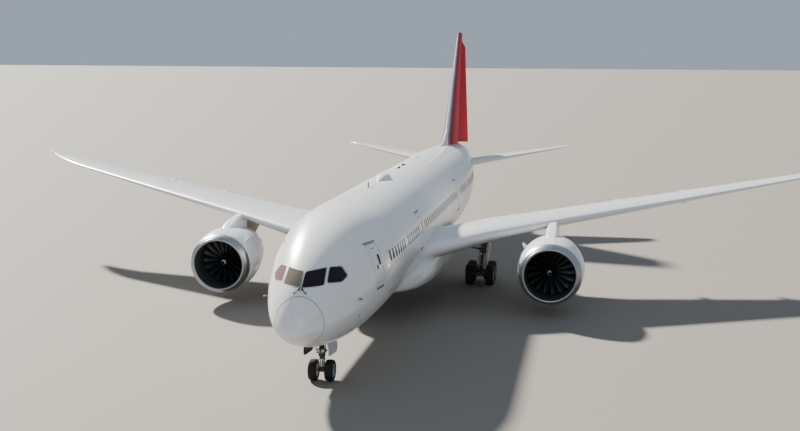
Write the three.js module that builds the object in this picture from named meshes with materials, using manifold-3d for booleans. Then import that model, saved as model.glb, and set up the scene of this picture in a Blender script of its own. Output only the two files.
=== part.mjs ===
// A twin engined wide body airliner, parked on its gear, as a half size model.
// Sizes are written in metres of the real aircraft, and MM turns them into millimetres of the model.
// Places are x to port, s aft from the nose's tip and z up from the ground.
import * as THREE from "three";
import { mergeVertices } from "three/addons/utils/BufferGeometryUtils.js";
import Module from "manifold-3d";

const wasm = await Module();
wasm.setup();

// Driving dimensions
const MM = 500;
const LENGTH = 62.81;
const SEAT_GAP = 0.0006;
const MOVING_GAP = 0.024;
const BODY_HALF_WIDTH = 2.885;
const BODY_HALF_HEIGHT = 2.985;
const BODY_CENTRE_Z = 4.84;
const NOSE_TIP_Z = 3.4;
const NOSE_LENGTH_SIDE = 10.78;
const NOSE_LENGTH_TOP = 9.27;
const NOSE_LENGTH_BELOW = 6.93;
const TAIL_START = 40.5;
const TAIL_END_HALF_WIDTH = 0.36;
const TAIL_END_TOP = 6.75;
const TAIL_END_BOTTOM = 5.85;
const BODY_SIDES = 28;
const RADOME_JOINT = 0.78;
const FORWARD_JOINT = 12.5;
const AFT_JOINT = 41.0;

const WHITE = { color: 0xf2f4f5, roughness: 0.3, metalness: 0 };
const GREY = { color: 0xb9bec2, roughness: 0.4, metalness: 0.2 };
const BARE_METAL = { color: 0x9a9da0, roughness: 0.35, metalness: 0.9 };
const DARK = { color: 0x2a2d31, roughness: 0.5, metalness: 0.4 };
const RUBBER = { color: 0x17181a, roughness: 0.85, metalness: 0 };
const GLASS = { color: 0x1b2026, roughness: 0.08, metalness: 0 };
const RED = { color: 0xb3142c, roughness: 0.3, metalness: 0 };

// A place on the aircraft as a point of the model, in real metres, with its origin under the middle.
const place = (x, s, z) => new THREE.Vector3(x, s - LENGTH / 2, z);
const mirrorPoint = (p, side) => new THREE.Vector3(p.x * side, p.y, p.z);
const share = (v, low, high) => Math.min(1, Math.max(0, (v - low) / (high - low)));

// A closed solid from a geometry in real metres.
function solid(geometry) {
  const bare = geometry.clone();
  bare.deleteAttribute("normal");
  bare.deleteAttribute("uv");
  bare.scale(MM, MM, MM);
  const merged = mergeVertices(bare, 1e-3);
  const index = [];
  for (let i = 0; i < merged.index.count; i += 3) {
    const [a, b, c] = merged.index.array.subarray(i, i + 3);
    if (a !== b && b !== c && c !== a) index.push(a, b, c);
  }
  const made = (triangles) =>
    new wasm.Manifold(
      new wasm.Mesh({
        numProp: 3,
        vertProperties: merged.attributes.position.array,
        triVerts: new Uint32Array(triangles),
      }),
    );
  const body = made(index);
  return body.volume() >= 0 ? body : made(index.reverse());
}

const shifted = (body, x, y, z) => body.translate([x * MM, y * MM, z * MM]);

// A solid with its copies moved by a small gap along each given direction, for cutting with clearance.
function grown(body, gap, directions) {
  return directions.reduce(
    (sum, d) => sum.add(shifted(body, d[0] * gap, d[1] * gap, d[2] * gap)),
    body,
  );
}

// The triangles that close a flat ring of points, by their numbers in it and turning the same way as it.
function capTriangles(ring) {
  const normal = new THREE.Vector3();
  ring.forEach((p, i) => normal.add(p.clone().cross(ring[(i + 1) % ring.length])));
  const [first, second] = ["x", "y", "z"].sort((p, q) => Math.abs(normal[p]) - Math.abs(normal[q]));
  const flat = ring.map((p) => new THREE.Vector2(p[first], p[second]));
  const turnsLeft = THREE.ShapeUtils.area(flat) > 0;
  return THREE.ShapeUtils.triangulateShape(flat, []).map(([a, b, c]) => {
    const left = THREE.ShapeUtils.area([flat[a], flat[b], flat[c]]) > 0;
    return left === turnsLeft ? [a, b, c] : [c, b, a];
  });
}

// A skin through rings with the same number of points, closed at both ends.
function loft(rings) {
  const count = rings[0].length;
  const index = [];
  for (let k = 0; k + 1 < rings.length; k += 1) {
    for (let i = 0; i < count; i += 1) {
      const a = k * count + i;
      const b = k * count + ((i + 1) % count);
      index.push(a, b, b + count, a, b + count, a + count);
    }
  }
  const last = (rings.length - 1) * count;
  for (const [a, b, c] of capTriangles(rings[0])) index.push(c, b, a);
  for (const [a, b, c] of capTriangles(rings[rings.length - 1])) {
    index.push(last + a, last + b, last + c);
  }
  const positions = rings.flat().flatMap((p) => [p.x, p.y, p.z]);
  const geometry = new THREE.BufferGeometry();
  geometry.setAttribute("position", new THREE.Float32BufferAttribute(positions, 3));
  geometry.setIndex(index);
  return solid(geometry);
}

// A round bar between two points, with its own radius at each end.
function bar(from, to, radiusFrom, radiusTo = radiusFrom, sides = 12, twist = 0) {
  const axis = new THREE.Vector3().subVectors(to, from);
  const geometry = new THREE.CylinderGeometry(radiusTo, radiusFrom, axis.length(), sides, 1, false, twist);
  const turn = new THREE.Quaternion().setFromUnitVectors(
    new THREE.Vector3(0, 1, 0),
    axis.clone().normalize(),
  );
  geometry.applyQuaternion(turn);
  const middle = new THREE.Vector3().addVectors(from, to).multiplyScalar(0.5);
  geometry.translate(middle.x, middle.y, middle.z);
  return solid(geometry);
}

// The hole that a bar of this radius turns in: its flats clear the bar's edges by the seat's gap.
function bore(from, to, radius, sides = 12) {
  const clear = (radius + SEAT_GAP) / Math.cos(Math.PI / sides);
  return bar(from, to, clear, clear, sides, Math.PI / sides);
}

// A pin along the line from a to b, standing out of its host to meet the piece that starts at a.
function endPin(a, b, radius, gap = SEAT_GAP, root = 0.06) {
  const along = new THREE.Vector3().subVectors(b, a).normalize();
  const from = a.clone().addScaledVector(along, -MOVING_GAP - root);
  return bar(from, a.clone().addScaledVector(along, -gap), radius, radius, 8);
}

// A box between two corners, each given as x, s and z.
function box(low, high) {
  const a = place(...low);
  const b = place(...high);
  const geometry = new THREE.BoxGeometry(b.x - a.x, b.y - a.y, b.z - a.z);
  geometry.translate((a.x + b.x) / 2, (a.y + b.y) / 2, (a.z + b.z) / 2);
  return solid(geometry);
}

// Directions at the line from a to b: along it, aft across it, and up from the plane of both.
function directions(a, b, up) {
  const along = new THREE.Vector3().subVectors(b, a).normalize();
  const back = new THREE.Vector3(0, 1, 0).addScaledVector(along, -along.y).normalize();
  const normal = up ?? new THREE.Vector3().crossVectors(along, back);
  if (!up && normal.z < 0) normal.negate();
  return { along, back, normal };
}

// A box lying along the line from a to b: before and beyond its ends, aft of it, and above and below it.
function boxAlong(a, b, { before = 0, beyond = 0, front = 0, aft, above, below, up }) {
  const { along, back, normal } = directions(a, b, up);
  const length = a.distanceTo(b);
  const corner = (u, v, w) =>
    a.clone().addScaledVector(along, u).addScaledVector(back, v).addScaledVector(normal, w);
  const ring = (u) => [
    corner(u, front, -below),
    corner(u, aft, -below),
    corner(u, aft, above),
    corner(u, front, above),
  ];
  return loft([ring(-before), ring(length + beyond)]);
}

// The body's half width and its top, bottom and widest heights at a station, inside its skin by inset.
function bodySection(s, inset = 0) {
  const swell = (length, power) => (1 - (1 - share(s, 0, length)) ** 2) ** power;
  const taper = share(s, TAIL_START, LENGTH);
  const crown = BODY_CENTRE_Z + BODY_HALF_HEIGHT;
  const keel = BODY_CENTRE_Z - BODY_HALF_HEIGHT;
  const tailMiddle = (TAIL_END_TOP + TAIL_END_BOTTOM) / 2 - 0.075;
  return {
    half:
      BODY_HALF_WIDTH * swell(NOSE_LENGTH_SIDE, 0.5) -
      (BODY_HALF_WIDTH - TAIL_END_HALF_WIDTH) * taper ** 1.9 -
      inset,
    top:
      NOSE_TIP_Z +
      (crown - NOSE_TIP_Z) * swell(NOSE_LENGTH_TOP, 0.63) -
      (crown - TAIL_END_TOP) * taper ** 3.2 -
      inset,
    bottom:
      NOSE_TIP_Z -
      (NOSE_TIP_Z - keel) * swell(NOSE_LENGTH_BELOW, 0.5) +
      (TAIL_END_BOTTOM - keel) * taper ** 1.6 +
      inset,
    middle:
      NOSE_TIP_Z +
      (BODY_CENTRE_Z - NOSE_TIP_Z) * swell(11, 1) +
      (tailMiddle - BODY_CENTRE_Z) * taper ** 1.7,
  };
}

function bodyRing(s, inset = 0) {
  const section = bodySection(s, inset);
  return Array.from({ length: BODY_SIDES }, (_, i) => {
    const angle = (2 * Math.PI * i) / BODY_SIDES;
    const reach = Math.sin(angle) >= 0 ? section.top - section.middle : section.middle - section.bottom;
    return place(section.half * Math.cos(angle), s, section.middle + reach * Math.sin(angle));
  });
}

const bodyLoft = (stations, inset = 0) => loft(stations.map((s) => bodyRing(s, inset)));

const NOSE_STATIONS = [0.015, 0.1, 0.35, RADOME_JOINT];
const FORWARD_STATIONS = [RADOME_JOINT, 1.2, 1.75, 2.5, 3.4, 4.6, 6.2, 8.2, 10.6, FORWARD_JOINT];
const CENTRE_STATIONS = [FORWARD_JOINT, AFT_JOINT];
const AFT_STATIONS = [AFT_JOINT, 44, 47, 50, 53, 56, 59, 61, LENGTH];
const withMirror = (body) => body.add(body.mirror([1, 0, 0]));
const BODY_CUTTER = withMirror(
  bodyLoft([...NOSE_STATIONS, ...FORWARD_STATIONS.slice(1), ...AFT_STATIONS], -SEAT_GAP),
);

// The flying surfaces' section: half thickness and camber, as shares of the chord, at a share of the chord.
const CHORD_STEPS = [0, 0.015, 0.07, 0.2, 0.42, 0.7, 1];
const halfThickness = (u, ratio) =>
  5 * ratio * (0.2969 * Math.sqrt(u) - 0.126 * u - 0.3516 * u ** 2 + 0.2843 * u ** 3 - 0.1036 * u ** 4);
const camberAt = (u, camber) => 4 * camber * u * (1 - u);
const EDGE_HALF_THICKNESS = 0.01;

// A point of a section: its leading edge, chord, thickness ratio, camber and incidence in degrees.
function foilPoint(row, u, side) {
  const tilt = THREE.MathUtils.degToRad(row.incidence ?? 0);
  const thick = Math.max(halfThickness(u, row.ratio) * row.chord, u > 0 ? EDGE_HALF_THICKNESS : 0);
  const rise = camberAt(u, row.camber ?? 0) * row.chord + side * thick;
  const back = u * row.chord;
  return {
    back: back * Math.cos(tilt) + rise * Math.sin(tilt),
    rise: rise * Math.cos(tilt) - back * Math.sin(tilt),
  };
}

function foilRing(row, toPoint) {
  const upper = CHORD_STEPS.map((u) => toPoint(row, foilPoint(row, u, 1))).reverse();
  const lower = CHORD_STEPS.slice(1).map((u) => toPoint(row, foilPoint(row, u, -1)));
  return [...upper, ...lower];
}

const flatFoil = (side) => (row, p) => place(side * row.x, row.s + p.back, row.z + p.rise);
const uprightFoil = (row, p) => place(p.rise, row.s + p.back, row.z);

// Wing sections: span, leading edge's station and height, chord, thickness ratio, incidence.
const WING = [
  { x: 1.6, s: 18.82, z: 3.56, chord: 13.4, ratio: 0.135, incidence: 3.2 },
  { x: 6.0, s: 21.9, z: 4.42, chord: 10.5, ratio: 0.118, incidence: 2.2 },
  { x: 9.4, s: 24.28, z: 4.9, chord: 8.2, ratio: 0.108, incidence: 1.4 },
  { x: 18.0, s: 30.3, z: 5.92, chord: 5.3, ratio: 0.1, incidence: 0.4 },
  { x: 25.5, s: 35.55, z: 6.85, chord: 2.9, ratio: 0.095, incidence: -0.5 },
  { x: 27.3, s: 37.2, z: 7.1, chord: 2.25, ratio: 0.09, incidence: -0.5 },
  { x: 29.0, s: 39.2, z: 7.34, chord: 1.35, ratio: 0.085, incidence: -0.5 },
  { x: 30.06, s: 40.8, z: 7.52, chord: 0.5, ratio: 0.08, incidence: -0.5 },
].map((row) => ({ ...row, camber: 0.012 }));

// The section of a table at a span between its rows.
function between(table, key, value) {
  const k = Math.max(1, table.findIndex((row) => row[key] >= value));
  const [low, high] = [table[k - 1], table[k]];
  const t = (value - low[key]) / (high[key] - low[key]);
  const row = {};
  for (const name of Object.keys(low)) row[name] = low[name] + t * (high[name] - low[name]);
  return row;
}

// A point on a flying surface's mean line, upper skin or lower skin.
function onFoil(table, side, x, u, skin = 0) {
  const row = between(table, "x", x);
  const lower = foilPoint(row, u, -1);
  const upper = foilPoint(row, u, 1);
  const t = (skin + 1) / 2;
  return place(
    side * x,
    row.s + lower.back + t * (upper.back - lower.back),
    row.z + lower.rise + t * (upper.rise - lower.rise),
  );
}

// A point at a span and a station of the wing, at its lower skin (-1), middle (0) or upper skin (1).
function atStation(table, side, x, s, skin = 0) {
  const row = between(table, "x", x);
  return onFoil(table, side, x, (s - row.s) / row.chord, skin);
}

const hingeLines = {};
const nodes = {};
const materials = {};
function node(name, body, look) {
  nodes[name] = body;
  materials[name] = look;
}

// The piece on the port side and its mirror image to starboard.
function pair(name, body, look) {
  node(`${name}_left`, body, look);
  node(`${name}_right`, body.mirror([1, 0, 0]), look);
}

const largest = (body) => body.decompose().sort((p, q) => q.volume() - p.volume())[0];

// A surface hinged inside its host about the line from a to b: its round nose lies in a cove, on two pins.
const COVE = 1.18;
const PIN = 0.3;
function hinged(host, a, b, radiusA, radiusB, { before = 0, up, trim } = {}) {
  const reach = { aft: 3, above: 3, below: 3, up };
  const along = new THREE.Vector3().subVectors(b, a).normalize();
  const clearA = a.clone().addScaledVector(along, -MOVING_GAP);
  const clearB = b.clone().addScaledVector(along, MOVING_GAP);
  const nose = bar(a, b, radiusA, radiusB, 12);
  const cove = bar(clearA, clearB, radiusA * COVE + MOVING_GAP, radiusB * COVE + MOVING_GAP, 12);
  const whole = host.intersect(boxAlong(a, b, reach).add(nose));
  const rest = host
    .subtract(boxAlong(clearA, clearB, { ...reach, before }).add(cove))
    .add(endPin(b, a, radiusB * PIN));
  return {
    surface: largest(trim ? whole.subtract(trim) : whole),
    host: before ? rest : rest.add(endPin(a, b, radiusA * PIN)),
  };
}

// A canoe shaped fairing below the wing: half width and depth along its length, from s0 to s1.
function canoe(x, side, s0, s1, top, depth, halfWidth) {
  const steps = [0, 0.12, 0.35, 0.6, 0.82, 1];
  const full = [0.12, 0.62, 1, 0.92, 0.55, 0.08];
  return loft(
    steps.map((t, k) => {
      const s = s0 + t * (s1 - s0);
      const z = top(s);
      return [
        [1, 0.25],
        [1, -0.35],
        [0.55, -0.85],
        [0, -1],
        [-0.55, -0.85],
        [-1, -0.35],
        [-1, 0.25],
      ].map(([w, h]) => place(side * x + w * halfWidth * full[k], s, z + h * depth * full[k]));
    }),
  );
}

// The belly fairing: a tub under the body that takes in the wings' roots.
const FAIRING = [
  // s, half width, bottom, top
  [16.2, 1.5, 1.93, 2.4],
  [17.6, 2.55, 1.75, 3.0],
  [19.5, 3.05, 1.6, 3.35],
  [23, 3.32, 1.5, 3.5],
  [29, 3.34, 1.5, 3.4],
  [33, 3.15, 1.58, 3.15],
  [35.6, 2.6, 1.72, 2.8],
  [37.6, 1.6, 1.9, 2.3],
];
// Half of its cross section: shares of the half width and of the height from bottom to top.
const FAIRING_SHAPE = [
  [0.35, 0],
  [0.68, 0.06],
  [0.9, 0.2],
  [1, 0.5],
  [0.96, 0.92],
  [0.72, 1],
];
const fairingRaw = loft(
  FAIRING.map(([s, half, bottom, top]) => {
    const right = FAIRING_SHAPE.map(([w, h]) => place(w * half, s, bottom + h * (top - bottom)));
    return [...right, ...right.map((p) => mirrorPoint(p, -1)).reverse()];
  }),
);
const fairing = fairingRaw.subtract(BODY_CUTTER);
const ALL_WAYS = [
  [1, 0, 0],
  [-1, 0, 0],
  [0, 1, 0],
  [0, -1, 0],
  [0, 0, 1],
  [0, 0, -1],
];
const FAIRING_CUTTER = withMirror(grown(fairingRaw, SEAT_GAP, ALL_WAYS));

// The port wing with its flaps, flaperon, aileron and spoilers.
const FLAP_GAP = 0.04;
const PIVOT_RADIUS = 0.05;
const PIVOT_HALF = 0.1;
const WING_PLAIN = loft(WING.map((row) => foilRing(row, flatFoil(1))));
const wingSkin = (depth, lift = 0) =>
  shifted(WING_PLAIN, 0, 0, lift).subtract(shifted(WING_PLAIN, 0, 0, -depth));
const onWing = (x, s, skin = 0) => atStation(WING, 1, x, s, skin);

// Flaps: inner and outer span, the front edge's stations there, the spans of their track fairings, and the
// drop from the flap's middle to its pivot.
const FLAPS = [
  { name: "inboard", x0: 3.62, x1: 8.85, s0: 30.75, s1: 31.05, canoes: [6.9], drop: 0.7 },
  { name: "outboard", x0: 11.6, x1: 19.9, s0: 31.93, s1: 34.88, canoes: [13.7, 18.1], drop: 0.56 },
];
// Spoilers ahead of each flap: inner and outer span, and their width along the flow.
const SPOILERS = {
  inboard: { inner: 6.1, outer: 8.63, width: 1.25 },
  outboard: { inner: 11.82, outer: 19.68, width: 1.05 },
};
const CANOE_HALF_WIDTH = 0.3;
const CANOE_REACH = 2.3;
const SPOILER_THICKNESS = 0.06;
const SPOILER_POCKET = 0.09;
const SPOILER_PIN = 0.018;
// Surfaces hinged at their own nose: inner and outer span, and the hinge's stations there.
const NOSED = [
  { name: "flaperon", x0: 9.45, x1: 11.2, s0: 31.06, s1: 31.66 },
  { name: "aileron", x0: 20.35, x1: 25.2, s0: 35.35, s1: 37.72 },
];

function buildWing() {
  let wing = WING_PLAIN;
  for (const { name, x0, x1, s0, s1, canoes, drop } of FLAPS) {
    const frontAt = (x) => s0 + ((x - x0) / (x1 - x0)) * (s1 - s0);
    const [a, b] = [onWing(x0, s0), onWing(x1, s1)];
    const reach = { aft: 4, above: 1.5, below: 1.5 };
    const clear = { ...reach, before: MOVING_GAP, beyond: MOVING_GAP, front: -FLAP_GAP };
    const { back, normal } = directions(a, b);
    const [pivotA, pivotB] = [a, b].map((p) =>
      p.clone().addScaledVector(back, -FLAP_GAP / 2).addScaledVector(normal, -drop),
    );
    const onPivot = (x) => new THREE.Vector3().lerpVectors(pivotA, pivotB, (x - x0) / (x1 - x0));
    let flap = wing.intersect(boxAlong(a, b, reach));
    wing = wing.subtract(boxAlong(a, b, clear));
    for (const x of canoes) {
      const front = frontAt(x);
      const lower = (s) => onWing(x, Math.min(s, front + 1.2), -1).z + 0.03;
      const depth = lower(front) - onPivot(x).z + PIVOT_RADIUS;
      const whole = canoe(x, 1, front - CANOE_REACH, front + CANOE_REACH, lower, depth, CANOE_HALF_WIDTH);
      const ahead = { aft: -FLAP_GAP, front: -4, above: 1.5, below: 2 };
      const [p, q] = [onPivot(x - PIVOT_HALF), onPivot(x + PIVOT_HALF)];
      const [far, near] = [onPivot(x - PIVOT_HALF - 0.01), onPivot(x + PIVOT_HALF + 0.01)];
      flap = flap.add(whole.intersect(boxAlong(a, b, reach))).add(bar(p, q, PIVOT_RADIUS));
      wing = wing.add(whole.intersect(boxAlong(a, b, ahead))).subtract(bore(far, near, PIVOT_RADIUS));
    }
    hingeLines[`flap_${name}`] = [pivotA, pivotB];
    pair(`flap_${name}`, largest(flap), WHITE);

    // The spoilers lie in the upper skin just ahead of the flap.
    const lean = Math.cos(Math.atan2(s1 - s0, x1 - x0));
    const { inner, outer, width } = SPOILERS[name];
    const sa = onWing(inner, frontAt(inner) - width, 1);
    const sb = onWing(outer, frontAt(outer) - width, 1);
    const deep = { above: 0.4, below: 0.6 };
    const panel = { ...deep, aft: width * lean - 0.06 };
    const pocket = { ...deep, aft: width * lean + 0.02, front: -MOVING_GAP };
    const sides = { before: MOVING_GAP, beyond: MOVING_GAP };
    const skinWays = directions(sa, sb);
    const axis = [sa, sb].map((p) =>
      p
        .clone()
        .addScaledVector(skinWays.back, SPOILER_THICKNESS / 2)
        .addScaledVector(skinWays.normal, -SPOILER_THICKNESS / 2),
    );
    hingeLines[`spoilers_${name}`] = axis;
    pair(`spoilers_${name}`, largest(wingSkin(SPOILER_THICKNESS).intersect(boxAlong(sa, sb, panel))), GREY);
    wing = wing
      .subtract(wingSkin(SPOILER_POCKET, 0.02).intersect(boxAlong(sa, sb, { ...pocket, ...sides })))
      .add(endPin(axis[0], axis[1], SPOILER_PIN))
      .add(endPin(axis[1], axis[0], SPOILER_PIN));
  }
  for (const { name, x0, x1, s0, s1 } of NOSED) {
    const [a, b] = [onWing(x0, s0), onWing(x1, s1)];
    const half = (x, s) => (onWing(x, s, 1).z - onWing(x, s, -1).z) / 2;
    const cut = hinged(wing, a, b, half(x0, s0), half(x1, s1));
    wing = cut.host;
    hingeLines[name] = [a, b];
    pair(name, cut.surface, WHITE);
  }
  pair("wing", largest(wing.subtract(BODY_CUTTER).subtract(FAIRING_CUTTER)), WHITE);
}

// Engines: the lip's middle, and the whole engine's tilt about it, aft end up.
const ENGINE = { x: 9.83, s: 20.1, z: 2.52, tilt: 3 };
// The nacelle's profile as axial distance from the lip and radius, outside and then inside.
const NACELLE_OUTSIDE = [
  [0, 1.49],
  [0.06, 1.6],
  [0.4, 1.76],
  [1.2, 1.88],
  [2.4, 1.88],
  [3.7, 1.7],
  [5.1, 1.38],
];
const NACELLE_INSIDE = [
  [5.1, 1.35],
  [4.1, 1.4],
  [2.9, 1.46],
  [1.4, 1.445],
  [0.75, 1.4],
  [0.1, 1.43],
];
const NACELLE_WIDENING = 1.03;
const NACELLE_SIDES = 32;
const CHEVRON_LENGTH = 0.34;
const CORE = [
  [1.75, 0],
  [1.75, 0.1],
  [2.0206, 0.1],
  [2.0206, 0.42],
  [2.6, 0.62],
  [3.6, 0.98],
  [4.7, 0.98],
  [6.1, 0.62],
  [6.1, 0.5],
  [6.0, 0.44],
  [7.15, 0],
];
const STRUTS = 4;
const FAN = { blades: 18, middle: 1.72, tip: 1.42 };
// Hub with its spinner, and a bore for the core's stub shaft.
const FAN_HUB = [
  [0.82, 0],
  [0.92, 0.1],
  [1.22, 0.27],
  [1.52, 0.38],
  [2.02, 0.4],
  [2.02, 0.1026],
  [1.74, 0.1026],
  [1.74, 0],
];
// Blade sections: radius, chord, thickness, angle from the axis in degrees, and shift along the axis.
const BLADE = [
  [0.3, 0.36, 0.06, 22, 0],
  [0.85, 0.42, 0.04, 42, 0.02],
  [FAN.tip, 0.4, 0.02, 60, -0.06],
];

// A turned shape about the port engine's axis, from rows of axial distance and radius. Rows may be widened,
// and their ends moved along the axis.
function turned(rows, sides, { ends = (a) => a, wide = () => 1 } = {}) {
  const points = rows.map(([a, r]) => new THREE.Vector2(r, a));
  const geometry = new THREE.LatheGeometry([...points, points[0].clone()], sides);
  const positions = geometry.attributes.position;
  const perLine = rows.length + 1;
  for (let i = 0; i < positions.count; i += 1) {
    const around = Math.floor(i / perLine) % sides;
    const row = (i % perLine) % rows.length;
    positions.setX(i, positions.getX(i) * wide(row));
    positions.setY(i, ends(positions.getY(i), row, around));
  }
  const centre = place(ENGINE.x, ENGINE.s, ENGINE.z);
  geometry.translate(centre.x, centre.y, centre.z);
  return solid(geometry);
}

function buildEngine() {
  const trailing = [NACELLE_OUTSIDE.length - 1, NACELLE_OUTSIDE.length];
  const tilted = (body) => {
    const { x, y, z } = place(ENGINE.x, ENGINE.s, ENGINE.z);
    return shifted(shifted(body, -x, -y, -z).rotate([ENGINE.tilt, 0, 0]), x, y, z);
  };
  const nacelle = turned([...NACELLE_OUTSIDE, ...NACELLE_INSIDE], NACELLE_SIDES, {
    ends: (a, row, around) => (trailing.includes(row) && around % 2 ? a - CHEVRON_LENGTH : a),
    wide: (row) => (row < NACELLE_OUTSIDE.length ? NACELLE_WIDENING : 1),
  });
  pair("nacelle", tilted(nacelle), WHITE);

  // Core cowl, nozzle and plug on the axis, with struts out to the fan case and the fan's stub shaft.
  const centre = (a) => place(ENGINE.x, ENGINE.s + a, ENGINE.z);
  let core = turned(CORE, 16);
  for (let k = 0; k < STRUTS; k += 1) {
    const angle = ((k + 0.5) * 2 * Math.PI) / STRUTS;
    const outward = new THREE.Vector3(Math.cos(angle), 0, Math.sin(angle));
    const from = centre(2.75).addScaledVector(outward, 0.5);
    const to = centre(2.85).addScaledVector(outward, 1.6);
    core = core.add(bar(from, to, 0.05, 0.05, 6));
  }
  core = largest(core.subtract(grown(nacelle, SEAT_GAP, ALL_WAYS)));
  pair("engine_core", tilted(core), BARE_METAL);

  let fan = turned(FAN_HUB, 16);
  for (let k = 0; k < FAN.blades; k += 1) {
    const angle = (2 * Math.PI * k) / FAN.blades;
    const outward = new THREE.Vector3(Math.cos(angle), 0, Math.sin(angle));
    const round = new THREE.Vector3(-Math.sin(angle), 0, Math.cos(angle));
    const rings = BLADE.map(([radius, chord, thick, degrees, shift]) => {
      const twist = THREE.MathUtils.degToRad(degrees);
      const chordWay = new THREE.Vector3(0, Math.cos(twist), 0).addScaledVector(round, Math.sin(twist));
      const thickWay = new THREE.Vector3(0, -Math.sin(twist), 0).addScaledVector(round, Math.cos(twist));
      const reach = Math.sqrt(radius ** 2 - (chord * Math.sin(twist) * 0.5) ** 2);
      const corners = [
        [-0.5, 0],
        [0, 0.5],
        [0.5, 0],
      ];
      return corners.map(([c, t]) =>
        centre(FAN.middle + shift)
          .addScaledVector(outward, reach)
          .addScaledVector(chordWay, c * chord)
          .addScaledVector(thickWay, t * thick),
      );
    });
    fan = fan.add(loft(rings));
  }
  pair("fan", tilted(fan), DARK);

  // Pylon: half width, bottom and top along the stations, cut back by the wing, the nacelle and the core.
  const PYLON = [
    [21.35, 0.08, 4.2, 4.34],
    [22.0, 0.3, 4.2, 4.58],
    [23.0, 0.36, 4.15, 4.84],
    [24.2, 0.34, 3.9, 5.0],
    [25.4, 0.32, 3.5, 5.05],
    [26.6, 0.3, 3.3, 4.9],
    [28.2, 0.22, 3.72, 4.7],
    [29.9, 0.06, 4.15, 4.6],
  ];
  const PYLON_SHAPE = [
    [0.5, 0],
    [1, 0.08],
    [1, 0.85],
    [0.55, 1],
  ];
  const whole = loft(
    PYLON.map(([s, half, bottom, top]) => {
      const right = PYLON_SHAPE.map(([w, h]) => [w * half, bottom + h * (top - bottom)]);
      const left = right.map(([w, z]) => [-w, z]).reverse();
      return [...right, ...left].map(([w, z]) => place(ENGINE.x + w, s, z));
    }),
  );
  const cutters = [
    grown(WING_PLAIN, SEAT_GAP, [[0, -1, 0], [0, 0, -1]]),
    grown(tilted(nacelle), SEAT_GAP, ALL_WAYS),
    grown(tilted(core), SEAT_GAP, [[0, 0, 1]]),
  ];
  pair("pylon", largest(cutters.reduce((body, cutter) => body.subtract(cutter), whole)), WHITE);
}

// Fin and rudder: height, leading edge's station, chord and thickness ratio.
const FIN = [
  { z: 6.9, s: 48.6, chord: 11.2, ratio: 0.1 },
  { z: 8.2, s: 50.35, chord: 9.65, ratio: 0.1 },
  { z: 16.55, s: 57.95, chord: 3.5, ratio: 0.09 },
  { z: 17.02, s: 58.75, chord: 2.75, ratio: 0.05 },
];
const RUDDER = { z0: 7.55, z1: 16.3, s0: 56.15, s1: 60.15 };
const RUDDER_FOOT = 0.12;
// The rudder stands over to port in the photograph: this many degrees about its hinge.
const RUDDER_REST = -14;

function buildFin() {
  let fin = loft(FIN.map((row) => foilRing(row, uprightFoil)));
  const dorsal = loft(
    [
      [46.6, 0.05, 7.82],
      [48.6, 0.1, 8.02],
      [51.2, 0.16, 8.95],
      [52.4, 0.05, 9.0],
    ].map(([s, half, top]) =>
      [
        [1, 6.9],
        [0.6, top - 0.12],
        [0, top],
        [-0.6, top - 0.12],
        [-1, 6.9],
      ].map(([w, z]) => place(w * half, s, z)),
    ),
  );
  fin = fin.add(dorsal);
  const radiusAt = (z, s) => {
    const row = between(FIN, "z", z);
    return halfThickness((s - row.s) / row.chord, row.ratio) * row.chord;
  };
  const [a, b] = [place(0, RUDDER.s0, RUDDER.z0), place(0, RUDDER.s1, RUDDER.z1)];
  const cut = hinged(fin, a, b, radiusAt(RUDDER.z0, RUDDER.s0), radiusAt(RUDDER.z1, RUDDER.s1), {
    before: 3,
    up: new THREE.Vector3(1, 0, 0),
    trim: shifted(BODY_CUTTER, 0, 0, RUDDER_FOOT),
  });
  hingeLines.rudder = [a, b];
  node("fin", largest(cut.host.subtract(BODY_CUTTER)), RED);
  const tilt = THREE.MathUtils.radToDeg(Math.atan2(b.z - a.z, b.y - a.y)) - 90;
  const onAxis = shifted(cut.surface, 0, -a.y, -a.z).rotate([-tilt, 0, 0]);
  const swung = onAxis.rotate([0, 0, RUDDER_REST]).rotate([tilt, 0, 0]);
  node("rudder", shifted(swung, 0, a.y, a.z), RED);
}

// Stabilizers and elevators: span, leading edge, chord.
const STABILIZER = [
  { x: 0.5, s: 53.1, z: 5.72, chord: 7.0, ratio: 0.1, incidence: 0 },
  { x: 9.2, s: 59.15, z: 6.98, chord: 2.25, ratio: 0.09, incidence: 0 },
  { x: 9.9, s: 60.0, z: 7.08, chord: 1.35, ratio: 0.06, incidence: 0 },
];
const ELEVATOR = { x0: 1.75, x1: 9.1, s0: 58.55, s1: 60.62 };

function buildStabilizer() {
  const plain = loft(STABILIZER.map((row) => foilRing(row, flatFoil(1))));
  const { x0, x1, s0, s1 } = ELEVATOR;
  const on = (x, s, skin = 0) => atStation(STABILIZER, 1, x, s, skin);
  const half = (x, s) => (on(x, s, 1).z - on(x, s, -1).z) / 2;
  const [a, b] = [on(x0, s0), on(x1, s1)];
  const cut = hinged(plain, a, b, half(x0, s0), half(x1, s1));
  hingeLines.elevator = [a, b];
  pair("elevator", cut.surface, WHITE);
  pair("stabilizer", largest(cut.host.subtract(BODY_CUTTER)), WHITE);
}

// A prism through the body's side or its nose, from an outline: across for doors, along for the cockpit.
function sidePrism(side, s0, s1, z0, z1, grow = 0) {
  const corner = 0.12;
  const [a, b, c, d] = [s0 - grow, s1 + grow, z0 - grow, z1 + grow];
  const outline = [
    [a + corner, c],
    [b - corner, c],
    [b, c + corner],
    [b, d - corner],
    [b - corner, d],
    [a + corner, d],
    [a, d - corner],
    [a, c + corner],
  ];
  return loft([0.6, 3.6].map((x) => outline.map(([s, z]) => place(side * x, s, z))));
}

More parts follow.
